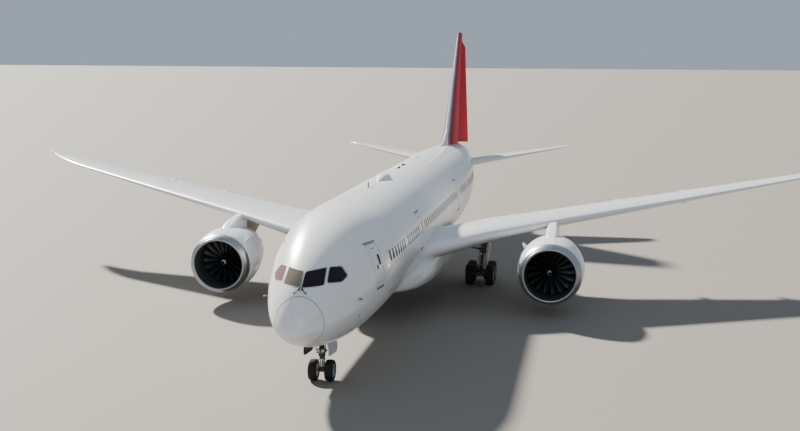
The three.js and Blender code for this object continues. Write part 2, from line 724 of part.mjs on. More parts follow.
function nosePrism(side, outline, grow = 0) {
  const cx = outline.reduce((sum, p) => sum + p[0], 0) / outline.length;
  const cz = outline.reduce((sum, p) => sum + p[1], 0) / outline.length;
  const wider = outline.map(([x, z]) => {
    const reach = Math.hypot(x - cx, z - cz);
    return [x + ((x - cx) / reach) * grow, z + ((z - cz) / reach) * grow];
  });
  return loft([0.9, 3.4].map((s) => wider.map(([x, z]) => place(side * x, s, z))));
}

const DOOR_THICKNESS = 0.15;
const PANE_THICKNESS = 0.05;
const bodies = {
  forward: bodyLoft(FORWARD_STATIONS),
  centre: bodyLoft(CENTRE_STATIONS),
  aft: bodyLoft(AFT_STATIONS),
};
const insides = {
  forward: (inset) => bodyLoft(FORWARD_STATIONS, inset),
  centre: (inset) => bodyLoft(CENTRE_STATIONS, inset),
  aft: (inset) => bodyLoft(AFT_STATIONS.slice(0, -1), inset),
};
const cuts = { forward: [], centre: [], aft: [] };

// A panel let into the body's skin: the panel itself, and the pocket that it lies in.
function skinPanel(part, prism, widerPrism, thickness) {
  const whole = bodies[part];
  const panel = whole.intersect(prism).subtract(insides[part](thickness));
  cuts[part].push(widerPrism.subtract(insides[part](thickness + SEAT_GAP)));
  return panel;
}

const SIDES = [
  [1, "left"],
  [-1, "right"],
];

// Passenger doors: number, body part, first and last station.
const DOORS = [
  [1, "forward", 5.38, 6.54],
  [2, "centre", 16.9, 18.06],
  [3, "centre", 34.6, 35.76],
  [4, "aft", 49.6, 50.76],
];
const DOOR_SILL = 4.36;
const DOOR_HEAD = 6.34;
for (const [number, part, s0, s1] of DOORS) {
  for (const [side, hand] of SIDES) {
    const panel = skinPanel(
      part,
      sidePrism(side, s0, s1, DOOR_SILL, DOOR_HEAD),
      sidePrism(side, s0, s1, DOOR_SILL, DOOR_HEAD, 0.006),
      DOOR_THICKNESS,
    );
    node(`passenger_door_${number}_${hand}`, panel, WHITE);
  }
}

// Cargo doors on the starboard side, hinged at the top: name, body part, first and last station.
const CARGO_DOORS = [
  ["cargo_door_forward", "forward", 9.2, 11.9],
  ["cargo_door_aft", "aft", 42.4, 45.0],
];
const CARGO_LOW = -54;
const CARGO_HIGH = -16;
const CARGO_GAP = 0.03;
const CARGO_TOP_GAP = 0.045;
const CARGO_AXIS_DEPTH = 0.045;
const CARGO_PIN = 0.02;

// A wedge out from the body's line of greatest width between two stations and two angles in degrees.
function sector(side, s0, s1, low, high) {
  const ring = (s) =>
    [
      [2, low],
      [3.7, low],
      [3.7, high],
      [2, high],
    ].map(([r, degrees]) => {
      const angle = THREE.MathUtils.degToRad(degrees);
      return place(side * r * Math.cos(angle), s, bodySection(s).middle + r * Math.sin(angle));
    });
  return loft([ring(s0), ring(s1)]);
}

for (const [name, part, s0, s1] of CARGO_DOORS) {
  const gaps = [CARGO_GAP, CARGO_TOP_GAP];
  const [below, above] = gaps.map((gap) => THREE.MathUtils.radToDeg(gap / BODY_HALF_WIDTH));
  const panel = bodies[part]
    .intersect(sector(-1, s0, s1, CARGO_LOW, CARGO_HIGH))
    .subtract(insides[part](DOOR_THICKNESS));
  const well = sector(-1, s0 - CARGO_GAP, s1 + CARGO_GAP, CARGO_LOW - below, CARGO_HIGH + above);
  cuts[part].push(well.subtract(insides[part](DOOR_THICKNESS + CARGO_GAP)));
  const angle = THREE.MathUtils.degToRad(CARGO_HIGH - 0.9);
  hingeLines[name] = [s0, s1].map((s) => {
    const section = bodySection(s);
    const reach = section.middle - section.bottom;
    const x = (section.half - CARGO_AXIS_DEPTH) * Math.cos(angle);
    return place(-x, s, section.middle + (reach - CARGO_AXIS_DEPTH) * Math.sin(angle));
  });
  node(name, panel, WHITE);
}

// Cockpit windows, by their corners across and up, seen from ahead.
const WINDOWS = [
  ["windshield", [[0.06, 5.2], [0.87, 5.24], [0.83, 5.81], [0.05, 5.7]]],
  ["side_window", [[1.0, 5.25], [1.5, 5.19], [1.64, 5.38], [1.36, 5.77], [0.95, 5.81]]],
];
for (const [name, outline] of WINDOWS) {
  for (const [side, hand] of SIDES) {
    const pocket = nosePrism(side, outline, 0.006);
    const panel = skinPanel("forward", nosePrism(side, outline), pocket, PANE_THICKNESS);
    node(`${name}_${hand}`, panel, GLASS);
  }
}

buildWing();
buildEngine();
buildStabilizer();
buildFin();

// Nose gear: leg in its well, steered lower part, wheels on one axle, and two doors beside the leg.
const NOSE_GEAR = { s: 5.0, axleZ: 0.508, wheelRadius: 0.508, wheelX: 0.39, wheelWidth: 0.4 };
const WELL = { half: 0.52, s0: 3.75, s1: 5.75, roof: 2.45 };
cuts.forward.push(box([-WELL.half, WELL.s0, 1.0], [WELL.half, WELL.s1, WELL.roof]));

// A wheel with its tyre, turned about the x axis: rows of distance across and radius, for a width and radius.
const WHEEL_SHAPE = [
  [0.55, 0],
  [0.55, 0.44],
  [1, 0.74],
  [0.66, 1],
];
function wheel(x, s, z, width, radius, sides) {
  const flats = Math.cos(Math.PI / sides);
  const half = WHEEL_SHAPE.map(([w, r]) => new THREE.Vector2((radius * r) / flats, (w * width) / 2));
  const points = [...half, ...half.map((p) => new THREE.Vector2(p.x, -p.y)).reverse()];
  const geometry = new THREE.LatheGeometry([...points, points[0].clone()], sides);
  geometry.rotateY(Math.PI / sides);
  geometry.rotateZ(-Math.PI / 2);
  const centre = place(x, s, z);
  geometry.translate(centre.x, centre.y, centre.z);
  return solid(geometry);
}

const WHEEL_SIDES = 20;
function wheelPair(x, s, z, half, width, radius, axle) {
  const shaft = bar(place(x - half, s, z), place(x + half, s, z), axle, axle, 12);
  return shaft
    .add(wheel(x - half, s, z, width, radius, WHEEL_SIDES))
    .add(wheel(x + half, s, z, width, radius, WHEEL_SIDES));
}

function buildNoseGear() {
  const { s, axleZ, wheelRadius, wheelX, wheelWidth } = NOSE_GEAR;
  const axle = 0.05;
  node("nose_wheels", wheelPair(0, s, axleZ, wheelX, wheelWidth, wheelRadius, axle), RUBBER);
  const steering = bar(place(0, s, axleZ - 0.02), place(0, s, 1.3), 0.085, 0.085, 16)
    .add(bar(place(-0.15, s, axleZ), place(0.15, s, axleZ), 0.1, 0.1, 16))
    .add(bar(place(0, s, 1.16), place(0, s, 1.3), 0.17, 0.17, 16))
    .add(bar(place(0, s + 0.1, 1.22), place(0, s + 0.34, 0.95), 0.035, 0.035, 8))
    .add(bar(place(0, s + 0.34, 0.95), place(0, s + 0.05, 0.56), 0.035, 0.035, 8))
    .subtract(bore(place(-0.3, s, axleZ), place(0.3, s, axleZ), axle));
  node("nose_gear_steering", steering, BARE_METAL);
  const leg = bar(place(0, s, 1.3 + SEAT_GAP), place(0, s, WELL.roof - SEAT_GAP), 0.14, 0.14, 16)
    .add(bar(place(-0.4, s, 2.2), place(0.4, s, 2.2), 0.07, 0.07, 12))
    .add(bar(place(0, s, 1.55), place(0.2, s - 1.0, 2.36), 0.05, 0.05, 8))
    .add(bar(place(0, s, 1.55), place(-0.2, s - 1.0, 2.36), 0.05, 0.05, 8))
    .add(box([-0.17, s - 0.3, 1.42], [0.17, s - 0.12, 1.56]));
  node("nose_gear_leg", leg, GREY);
  for (const [side, hand] of SIDES) {
    const door = loft(
      [
        [3.8, 1.44],
        [5.65, 1.28],
      ].map(([at, foot]) =>
        [
          [0.5, 2.08],
          [0.54, 2.08],
          [0.6, foot],
          [0.56, foot],
        ].map(([x, z]) => place(side * x, at, z)),
      ),
    ).subtract(BODY_CUTTER);
    const at = 4.4;
    const bracket = bar(place(side * 0.47, at, 1.9), place(side * 0.47, at, 2.25), 0.05, 0.05, 8)
      .add(bar(place(side * 0.47, at, 1.9), place(side * 0.57, at, 1.75), 0.04, 0.04, 8));
    const [inner, outer] = [0.4, WELL.half - SEAT_GAP].map((x) => side * x);
    const lug = box([Math.min(inner, outer), at - 0.05, 1.93], [Math.max(inner, outer), at + 0.05, 2.2]);
    node(`nose_gear_door_${hand}`, door.add(bracket).add(lug), WHITE);
  }
}

// Main gear: raked leg with its door, truck beam, and a wheel pair at each end.
const MAIN_GEAR = {
  x: 4.9,
  s: 30.83,
  axleZ: 0.686,
  axleS: 0.755,
  wheelRadius: 0.686,
  wheelX: 0.66,
  wheelWidth: 0.53,
};

function buildMainGear() {
  const { x, s, axleZ, wheelRadius, wheelX, wheelWidth, axleS } = MAIN_GEAR;
  const axle = 0.07;
  const top = place(5.25, 29.75, 4.0);
  const bottom = place(x, s, axleZ + 0.2);
  const onLeg = (part) => new THREE.Vector3().lerpVectors(bottom, top, part);
  const knee = onLeg(0.42);
  const scissor = place(x + 0.05, s - 0.5, 1.3);
  const rods = [
    [bottom, knee, 0.11, 12],
    [knee, top, 0.2, 12],
    [onLeg(0.46), place(3.2, 29.9, 2.75), 0.07, 8],
    [onLeg(0.52), place(5.2, 28.5, 4.0), 0.07, 8],
    [place(x, s - 0.14, axleZ + 0.34), scissor, 0.05, 6],
    [scissor, onLeg(0.36), 0.05, 6],
    [place(5.15, 30.25, 2.2), place(5.48, 30.25, 2.2), 0.04, 6],
    [place(5.15, 30.0, 3.1), place(5.58, 30.0, 3.1), 0.04, 6],
  ];
  const door = loft(
    [29.35, 30.75].map((at) =>
      [
        [5.55, 3.6],
        [5.6, 3.6],
        [5.42, 1.55],
        [5.37, 1.55],
      ].map(([px, pz]) => place(px, at, pz)),
    ),
  );
  const bars = rods.map(([from, to, radius, sides]) => bar(from, to, radius, radius, sides));
  const leg = bars.reduce((sum, part) => sum.add(part), door);
  const cutters = [grown(WING_PLAIN, SEAT_GAP, [[0, 0, -1]]), FAIRING_CUTTER, BODY_CUTTER];
  const legSolid = largest(cutters.reduce((sum, cutter) => sum.subtract(cutter), leg));

  let truck = bar(place(x, s - axleS - 0.12, axleZ), place(x, s + axleS + 0.12, axleZ), 0.14, 0.14, 8);
  truck = truck.add(bar(place(x, s, axleZ), place(x, s, axleZ + 0.32), 0.17, 0.17, 8));
  for (const [end, name] of [
    [-1, "front"],
    [1, "rear"],
  ]) {
    const at = s + end * axleS;
    truck = truck
      .add(bar(place(x - 0.2, at, axleZ), place(x + 0.2, at, axleZ), 0.15, 0.15, 8))
      .subtract(bore(place(x - 0.4, at, axleZ), place(x + 0.4, at, axleZ), axle));
    pair(`main_wheels_${name}`, wheelPair(x, at, axleZ, wheelX, wheelWidth, wheelRadius, axle), RUBBER);
  }
  pair("main_gear_leg", legSolid, GREY);
  pair("main_truck", largest(truck.subtract(grown(legSolid, SEAT_GAP, ALL_WAYS))), BARE_METAL);
}

buildNoseGear();
buildMainGear();

// The body's parts, with the pockets of their doors, windows and gear, and the seats of what they take.
node("radome", shifted(bodyLoft(NOSE_STATIONS), 0, -SEAT_GAP, 0), WHITE);
node("belly_fairing", fairing, WHITE);
for (const [part, name] of [
  ["forward", "fuselage_forward"],
  ["centre", "fuselage_center"],
  ["aft", "fuselage_aft"],
]) {
  const pins = CARGO_DOORS.filter((row) => row[1] === part).flatMap(([door]) => {
    const [fore, aft] = hingeLines[door];
    return [endPin(fore, aft, CARGO_PIN, 3 * SEAT_GAP), endPin(aft, fore, CARGO_PIN, 3 * SEAT_GAP)];
  });
  const open = cuts[part].reduce((sum, cut) => sum.subtract(cut), bodies[part]);
  const body = pins.reduce((sum, pin) => sum.add(pin), open);
  const back = { forward: 0, centre: SEAT_GAP, aft: 2 * SEAT_GAP }[part];
  const joint = { forward: RADOME_JOINT, centre: FORWARD_JOINT, aft: AFT_JOINT }[part];
  const trim = box([-4, -2, -1], [4, joint + back, 12]);
  node(name, back ? body.subtract(trim) : body, WHITE);
}

// One named mesh for each node.
const airliner = new THREE.Group();
airliner.name = "wide_body_airliner";
for (const [name, body] of Object.entries(nodes)) {
  const made = body.getMesh();
  const geometry = new THREE.BufferGeometry();
  const positions = new Float32Array(made.numVert * 3);
  for (let i = 0; i < made.numVert; i += 1) {
    positions.set(made.vertProperties.subarray(i * made.numProp, i * made.numProp + 3), i * 3);
  }
  geometry.setAttribute("position", new THREE.BufferAttribute(positions, 3));
  geometry.setIndex(new THREE.BufferAttribute(new Uint32Array(made.triVerts), 1));
  geometry.computeVertexNormals();
  const mesh = new THREE.Mesh(geometry, new THREE.MeshStandardMaterial(materials[name]));
  mesh.name = name;
  airliner.add(mesh);
}

export { hingeLines };
export default airliner;
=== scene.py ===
"""A twin engined wide body airliner, parked on its gear, as a half size model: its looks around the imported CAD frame.

Sizes are in metres of the real aircraft: x to port, s aft from the nose's tip and z up from the ground.
"""

import math

import bmesh
import bpy
import numpy as np
from mathutils import Matrix, Vector


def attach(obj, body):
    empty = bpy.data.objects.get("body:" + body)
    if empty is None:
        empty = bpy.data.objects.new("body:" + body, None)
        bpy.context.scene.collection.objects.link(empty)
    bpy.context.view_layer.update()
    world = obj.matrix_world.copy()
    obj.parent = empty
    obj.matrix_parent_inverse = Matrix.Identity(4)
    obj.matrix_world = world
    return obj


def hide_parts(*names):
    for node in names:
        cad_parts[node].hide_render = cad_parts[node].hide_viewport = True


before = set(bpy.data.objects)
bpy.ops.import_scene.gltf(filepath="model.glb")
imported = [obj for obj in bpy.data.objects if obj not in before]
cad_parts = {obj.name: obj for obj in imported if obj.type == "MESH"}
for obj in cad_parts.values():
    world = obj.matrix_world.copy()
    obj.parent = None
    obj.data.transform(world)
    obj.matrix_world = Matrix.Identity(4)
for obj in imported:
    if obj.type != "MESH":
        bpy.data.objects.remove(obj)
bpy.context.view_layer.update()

# Camera and studio.
# The camera stands where the photograph's did, worked out from the aircraft's known sizes. The floor is a plain
# pale sheet. A warm light from high on the starboard side lights the crown, and a cool sky fills the port side.
MODEL = 0.5
LENGTH = 62.81
# The photograph's camera: its place in real metres, its yaw, pitch and roll in degrees, and its focal length.
CAMERA_PLACE = (12.3293, -79.6898, 14.97)
CAMERA_TURNS = (9.2767, 7.5421, 0.3076)
FOCAL_PIXELS, PICTURE_WIDTH, SENSOR_WIDTH = 1208.387, 800, 36
SUN_TOWARDS = (0.56, -0.63, -0.54)
FLOOR_CORNERS = [(-400, -300, 0), (400, -300, 0), (400, 700, 0), (-400, 700, 0)]
FLOOR_COLOUR = (0.235, 0.215, 0.19)


def new_material(name):
    """A material with its node tree and its Principled shader."""
    material = bpy.data.materials.new(name)
    material.use_nodes = True
    return material, material.node_tree, material.node_tree.nodes["Principled BSDF"]


def object_noise(tree, scale, detail=2.0):
    """The strength of a noise over Object coordinates."""
    noise = tree.nodes.new("ShaderNodeTexNoise")
    noise.inputs["Scale"].default_value = scale
    noise.inputs["Detail"].default_value = detail
    where = tree.nodes.new("ShaderNodeTexCoord")
    tree.links.new(where.outputs["Object"], noise.inputs["Vector"])
    return noise.outputs["Fac"]


# The floor is a matte sheet with a faint mottling.
floor_sheet, tree, shader = new_material("floor_sheet")
shader.inputs["Roughness"].default_value = 0.85
ramp = tree.nodes.new("ShaderNodeValToRGB")
ramp.color_ramp.elements[0].color = (*[c * 0.96 for c in FLOOR_COLOUR], 1)
ramp.color_ramp.elements[1].color = (*FLOOR_COLOUR, 1)
tree.links.new(object_noise(tree, 0.15), ramp.inputs["Fac"])
tree.links.new(ramp.outputs["Color"], shader.inputs["Base Color"])
floor_mesh = bpy.data.meshes.new("studio_floor")
floor_mesh.from_pydata(FLOOR_CORNERS, [], [(0, 1, 2, 3)])
floor_mesh.materials.append(floor_sheet)
floor = bpy.data.objects.new("studio_floor", floor_mesh)
bpy.context.scene.collection.objects.link(floor)


def add_light(name, kind, energy, colour, towards, place=(0, 0, 0)):
    """A light at a place, turned along a direction."""
    light = bpy.data.lights.new(name, kind)
    light.energy = energy
    light.color = colour
    lamp = bpy.data.objects.new(name, light)
    lamp.location = place
    lamp.rotation_euler = Vector(towards).to_track_quat("-Z", "Y").to_euler()
    bpy.context.scene.collection.objects.link(lamp)
    return light


add_light("key_light", "SUN", 14.0, (1.0, 0.95, 0.87), SUN_TOWARDS).angle = math.radians(3)
add_light("front_light", "AREA", 1500, (0.93, 0.96, 1.0), (-4, 44, -18), (4, -50, 20)).size = 16

world = bpy.data.worlds.new("studio_world")
bpy.context.scene.world = world
world.use_nodes = True
sky = world.node_tree.nodes["Background"]
sky.inputs["Color"].default_value = (0.7, 0.83, 1.0, 1)
sky.inputs["Strength"].default_value = 0.5

camera_data = bpy.data.cameras.new("photo_camera")
camera_data.sensor_width = SENSOR_WIDTH
camera_data.lens = FOCAL_PIXELS * SENSOR_WIDTH / PICTURE_WIDTH
camera_data.clip_end = 2000
camera = bpy.data.objects.new("photo_camera", camera_data)
bpy.context.scene.collection.objects.link(camera)
yaw, pitch, roll = (math.radians(a) for a in CAMERA_TURNS)
ahead = Vector((-math.sin(yaw) * math.cos(pitch), math.cos(yaw) * math.cos(pitch), -math.sin(pitch)))
level = ahead.cross(Vector((0, 0, 1))).normalized()
upright = level.cross(ahead)
across = level * math.cos(roll) + upright * math.sin(roll)
upward = upright * math.cos(roll) - level * math.sin(roll)
rows = [(*axes, place * MODEL) for *axes, place in zip(across, upward, -ahead, CAMERA_PLACE)]
camera.matrix_world = Matrix([*rows, (0, 0, 0, 1)])
bpy.context.scene.camera = camera

# Fuselage.
# The real barrel is wound carbon in long sections, joined by rings of fasteners and painted gloss white all over.
# Each section is a closed skin, with pockets cut for the doors, cockpit windows and nose gear well that it carries.
BODY_HALF_WIDTH = 2.885
BODY_HALF_HEIGHT = 2.985
BODY_CENTRE_Z = 4.84
NOSE_TIP_Z = 3.4
TAIL_START = 40.5
RADOME_JOINT = 0.78
FORWARD_JOINT = 12.5
AFT_JOINT = 41.0
SHARP_ANGLE = math.radians(35)


def new_group(name, inputs, outputs):
    """A shader node group with named sockets. Inputs are rows of name, kind and default; outputs of name and kind."""
    group = bpy.data.node_groups.new(name, "ShaderNodeTree")
    for label, kind, default in inputs:
        group.interface.new_socket(name=label, in_out="INPUT", socket_type=kind).default_value = default
    for label, kind in outputs:
        group.interface.new_socket(name=label, in_out="OUTPUT", socket_type=kind)
    return group, group.nodes.new("NodeGroupInput"), group.nodes.new("NodeGroupOutput")


def math_node(tree, operation, *values):
    """The output of a Math node whose operands are sockets or numbers."""
    node = tree.nodes.new("ShaderNodeMath")
    node.operation = operation
    for k, value in enumerate(values):
        if isinstance(value, (int, float)):
            node.inputs[k].default_value = value
        else:
            tree.links.new(value, node.inputs[k])
    return node.outputs[0]


def colour_mix(tree, factor, first, second):
    """The colour output of a Mix node. Colours are sockets or triples."""
    node = tree.nodes.new("ShaderNodeMix")
    node.data_type = "RGBA"
    for socket, value in ((node.inputs["Factor"], factor), (node.inputs[6], first), (node.inputs[7], second)):
        if isinstance(value, bpy.types.NodeSocket):
            tree.links.new(value, socket)
        else:
            socket.default_value = (*value, 1) if isinstance(value, tuple) else value
    return node.outputs[2]


# Dust film: a patchy layer of fine dirt, stretched along the flow, with a fine ripple for the paint's surface.
dust, dust_in, dust_out = new_group(
    "dust_film",
    [
        ("Paint", "NodeSocketColor", (0.8, 0.8, 0.8, 1)),
        ("Dust", "NodeSocketColor", (0.45, 0.42, 0.38, 1)),
        ("Amount", "NodeSocketFloat", 0.1),
        ("Size", "NodeSocketFloat", 0.6),
        ("Gloss", "NodeSocketFloat", 0.25),
    ],
    [("Color", "NodeSocketColor"), ("Roughness", "NodeSocketFloat"), ("Height", "NodeSocketFloat")],
)
where = dust.nodes.new("ShaderNodeTexCoord")
stretch = dust.nodes.new("ShaderNodeMapping")
stretch.inputs["Scale"].default_value = (1.0, 0.35, 1.0)
dust.links.new(where.outputs["Object"], stretch.inputs["Vector"])
patches = dust.nodes.new("ShaderNodeTexNoise")
patches.inputs["Detail"].default_value = 6
dust.links.new(stretch.outputs["Vector"], patches.inputs["Vector"])
dust.links.new(dust_in.outputs["Size"], patches.inputs["Scale"])
ripple = dust.nodes.new("ShaderNodeTexNoise")
ripple.inputs["Scale"].default_value = 9
dust.links.new(where.outputs["Object"], ripple.inputs["Vector"])
cover = math_node(dust, "MULTIPLY", math_node(dust, "SUBTRACT", patches.outputs["Fac"], 0.35), 2.0)
cover = math_node(dust, "MAXIMUM", math_node(dust, "MULTIPLY", cover, dust_in.outputs["Amount"]), 0.0)
dust.links.new(colour_mix(dust, cover, dust_in.outputs["Paint"], dust_in.outputs["Dust"]), dust_out.inputs["Color"])
dust.links.new(math_node(dust, "MULTIPLY_ADD", cover, 1.2, dust_in.outputs["Gloss"]), dust_out.inputs["Roughness"])
dust.links.new(ripple.outputs["Fac"], dust_out.inputs["Height"])

# Thin lines at even places along a value, as a mask: one where a joint runs.
lines, lines_in, lines_out = new_group(
    "even_lines",
    [
        ("Value", "NodeSocketFloat", 0.0),
        ("Spacing", "NodeSocketFloat", 1.0),
        ("Start", "NodeSocketFloat", 0.0),
        ("Width", "NodeSocketFloat", 0.02),
    ],
    [("Mask", "NodeSocketFloat")],
)
turns = math_node(lines, "SUBTRACT", lines_in.outputs["Value"], lines_in.outputs["Start"])
turns = math_node(lines, "DIVIDE", turns, lines_in.outputs["Spacing"])
turns = math_node(lines, "SUBTRACT", turns, math_node(lines, "ROUND", turns))
off = math_node(lines, "MULTIPLY", math_node(lines, "ABSOLUTE", turns), lines_in.outputs["Spacing"])
off = math_node(lines, "DIVIDE", off, lines_in.outputs["Width"])
inside = math_node(lines, "SUBTRACT", 1.0, off)
lines.links.new(math_node(lines, "MAXIMUM", inside, 0.0), lines_out.inputs["Mask"])


def coated(name, colour, gloss=0.25, dust_amount=0.08, dust_size=0.6, metal=0.0, coat=0.4, tint=None, marks=None):
    """A finish made of the dust film over a colour. marks(tree, colour) may return another colour for the paint."""
    material, tree, shader = new_material(name)
    film = tree.nodes.new("ShaderNodeGroup")
    film.node_tree = dust
    film.inputs["Paint"].default_value = (*colour, 1)
    film.inputs["Dust"].default_value = (*(tint or [c * 0.55 for c in colour]), 1)
    film.inputs["Amount"].default_value = dust_amount
    film.inputs["Size"].default_value = dust_size
    film.inputs["Gloss"].default_value = gloss
    if marks:
        tree.links.new(marks(tree, colour), film.inputs["Paint"])
    surface = tree.nodes.new("ShaderNodeBump")
    surface.inputs["Strength"].default_value = 0.02
    surface.inputs["Distance"].default_value = 0.004
    tree.links.new(film.outputs["Color"], shader.inputs["Base Color"])
    tree.links.new(film.outputs["Roughness"], shader.inputs["Roughness"])
    tree.links.new(film.outputs["Height"], surface.inputs["Height"])
    tree.links.new(surface.outputs["Normal"], shader.inputs["Normal"])
    shader.inputs["Metallic"].default_value = metal
    shader.inputs["Coat Weight"].default_value = coat
    shader.inputs["Coat Roughness"].default_value = 0.06
    return material


def axis_value(tree, axis):
    """One axis of Object coordinates, in metres of the real aircraft; y counts as the station."""
    place = tree.nodes.new("ShaderNodeTexCoord")
    split = tree.nodes.new("ShaderNodeSeparateXYZ")
    tree.links.new(place.outputs["Object"], split.inputs["Vector"])
    value = math_node(tree, "DIVIDE", split.outputs["XYZ".index(axis)], MODEL)
    return math_node(tree, "ADD", value, LENGTH / 2) if axis == "Y" else value


def line_mask(tree, value, spacing, start, width):
    """A mask of thin even lines across a value."""
    group = tree.nodes.new("ShaderNodeGroup")
    group.node_tree = lines
    tree.links.new(value, group.inputs["Value"])
    group.inputs["Spacing"].default_value = spacing
    group.inputs["Start"].default_value = start
    group.inputs["Width"].default_value = width
    return group.outputs["Mask"]


def barrel_marks(tree, colour):
    """Faint ring joints every few metres."""
    joints = math_node(tree, "MULTIPLY", line_mask(tree, axis_value(tree, "Y"), 5.9, 12.5, 0.03), 0.22)
    return colour_mix(tree, joints, colour, (0.42, 0.43, 0.45))


WHITE = (0.83, 0.845, 0.86)
white_paint = coated("white_paint", WHITE)
barrel_paint = coated("barrel_paint", WHITE, marks=barrel_marks)
# Near black for seams, small fittings and the walls inside pockets; inside the nose gear well it is painted shade.
seam_dark_and_well_shade = coated("seam_dark_and_well_shade", (0.05, 0.052, 0.055), gloss=0.6, coat=0.0)


def even_turns(count):
    """Angles at even steps once round."""
    return np.linspace(0, 2 * np.pi, count, endpoint=False)


def points_at(x, s, z):
    """Points from their coordinates, each a number, a row or a grid."""
    return np.stack(np.broadcast_arrays(x, s, z), -1)


def body_section(s):
    """Half width, top, bottom and height of greatest width at a station.

    At the nose each grows as 1 - (1 - s / length) ** 2 to a power; at the tail each moves by a power of the share of
    the tail's length.
    """

    def swell(length, power):
        return (1 - (1 - np.clip(s / length, 0, 1)) ** 2) ** power

    t = np.clip((s - TAIL_START) / (LENGTH - TAIL_START), 0, 1)
    crown, keel = BODY_CENTRE_Z + BODY_HALF_HEIGHT, BODY_CENTRE_Z - BODY_HALF_HEIGHT
    half = BODY_HALF_WIDTH * swell(10.78, 0.5) - (BODY_HALF_WIDTH - 0.36) * t**1.9
    top = NOSE_TIP_Z + (crown - NOSE_TIP_Z) * swell(9.27, 0.63) - (crown - 6.75) * t**3.2
    bottom = NOSE_TIP_Z - (NOSE_TIP_Z - keel) * swell(6.93, 0.5) + (5.85 - keel) * t**1.6
    middle = NOSE_TIP_Z + (BODY_CENTRE_Z - NOSE_TIP_Z) * swell(11, 1.0) + (6.225 - BODY_CENTRE_Z) * t**1.7
    return half, top, bottom, middle


def skin(s, a, out=0.0):
    """Points of the body at station s and angle a, moved out along the normal: each section is two half ellipses."""
    s, a = np.broadcast_arrays(np.asarray(s, float), np.asarray(a, float))

    def bare(s, a):
        half, top, bottom, middle = body_section(s)
        reach = np.where(np.sin(a) >= 0, top - middle, middle - bottom)
        return points_at(half * np.cos(a), s, middle + reach * np.sin(a))

    points = bare(s, a)
    if np.ndim(out) == 0 and out == 0:
        return points
    normal = np.cross(bare(s + 1e-3, a) - bare(s - 1e-3, a), bare(s, a + 1e-3) - bare(s, a - 1e-3))
    normal /= np.maximum(np.linalg.norm(normal, axis=-1, keepdims=True), 1e-12)
    return points + normal * np.asarray(out)[..., None]


def section_reach(s, z):
    """Half width and height of greatest width at a station, and how far the section goes up or down from there."""
    half, top, bottom, middle = body_section(np.asarray(s, float))
    return half, middle, np.where(z >= middle, top - middle, middle - bottom)


def skin_angle(s, z, side=1):
    """The angle at which the skin has height z at station s, to port or to starboard."""
    _, middle, reach = section_reach(s, z)
    a = np.arcsin(np.clip((z - middle) / reach, -1, 1))
    return a if side > 0 else np.pi - a


def closed(rows, joined=False):
    """A closed shape through rings of points: quads from ring to ring, and a fan to the middle of each end ring.

    With joined, the last ring runs on into the first and there are no ends. A shape is its points, quads and
    triangles, with its faces outwards.
    """
    rows = np.asarray(rows, float)
    n, m = rows.shape[:2]
    points = rows.reshape(-1, 3)
    k, i = np.meshgrid(np.arange(n if joined else n - 1), np.arange(m), indexing="ij")
    j, after = (i + 1) % m, (k + 1) % n
    quads = np.stack([k * m + i, k * m + j, after * m + j, after * m + i], -1).reshape(-1, 4)
    triangles = np.zeros((0, 3), int)
    if not joined:
        ring = np.arange(m)
        first = np.stack([np.roll(ring, -1), ring, np.full(m, n * m)], -1)
        last = np.stack([ring, np.roll(ring, -1), np.full(m, n * m + 1)], -1) + [(n - 1) * m, (n - 1) * m, 0]
        triangles = np.vstack([first, last])
        points = np.vstack([points, rows[0].mean(0), rows[-1].mean(0)])
    return outward((points, quads, triangles))


def outward(shape):
    """The shape with its faces turned outwards: the sum of its faces' signed volumes is positive."""
    points, quads, triangles = shape
    corners = np.vstack([quads[:, [0, 1, 2]], quads[:, [0, 2, 3]], triangles])
    a, b, c = (points - points.mean(0))[corners].transpose(1, 0, 2)
    return (points, quads[:, ::-1], triangles[:, ::-1]) if (a * np.cross(b, c)).sum() < 0 else shape


def together(shapes):
    """Several shapes as one."""
    offsets = np.cumsum([0] + [len(points) for points, _, _ in shapes])
    return (
        np.vstack([points for points, _, _ in shapes]),
        np.vstack([quads + offset for (_, quads, _), offset in zip(shapes, offsets)]),
        np.vstack([triangles + offset for (_, _, triangles), offset in zip(shapes, offsets)]),
    )


def mirrored(shape):
    """The shape's mirror image on the other side of the aircraft."""
    points, quads, triangles = shape
    return points * [-1, 1, 1], quads[:, ::-1], triangles[:, ::-1]


def for_side(shape, side):
    """A shape made for the port side, or its mirror image for the starboard side."""
    return shape if side > 0 else mirrored(shape)


def mesh_from(name, shape):
    """A mesh in the model's frame from a shape in real metres."""
    points, quads, triangles = shape
    placed = points * MODEL - [0, LENGTH / 2 * MODEL, 0]
    mesh = bpy.data.meshes.new(name)
    mesh.from_pydata(placed.tolist(), [], quads.tolist() + triangles.tolist())
    mesh.update()
    return mesh


def add_piece(name, mesh, materials, body="airframe", slot=None, replaces=()):
    """A finished piece from a mesh or a shape: smooth, with its steeper edges sharp, riding on its body."""
    if isinstance(mesh, tuple):
        mesh = mesh_from(name, mesh)
    mesh.name = name
    for material in materials if isinstance(materials, (list, tuple)) else [materials]:
        mesh.materials.append(material)
    mesh.shade_smooth()
    mesh.set_sharp_from_angle(angle=SHARP_ANGLE)
    piece = bpy.data.objects.new(name, mesh)
    bpy.context.scene.collection.objects.link(piece)
    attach(piece, body)
    if replaces:
        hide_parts(*replaces)


def add_pair(name, mesh, materials, body="airframe", slot=None, replaces=()):
    """A port piece and its mirror image to starboard. {hand} in body and replaces is left or right."""
    if isinstance(mesh, tuple):
        mesh = mesh_from(name, mesh)
    other = mesh.copy()
    places = np.zeros(len(other.vertices) * 3)
    other.vertices.foreach_get("co", places)
    other.vertices.foreach_set("co", (places.reshape(-1, 3) * [-1, 1, 1]).ravel())
    other.flip_normals()
    for hand, half in (("left", mesh), ("right", other)):
        nodes = [node.format(hand=hand) for node in replaces]
        add_piece(f"{name}_{hand}", half, materials, body.format(hand=hand), slot, nodes)


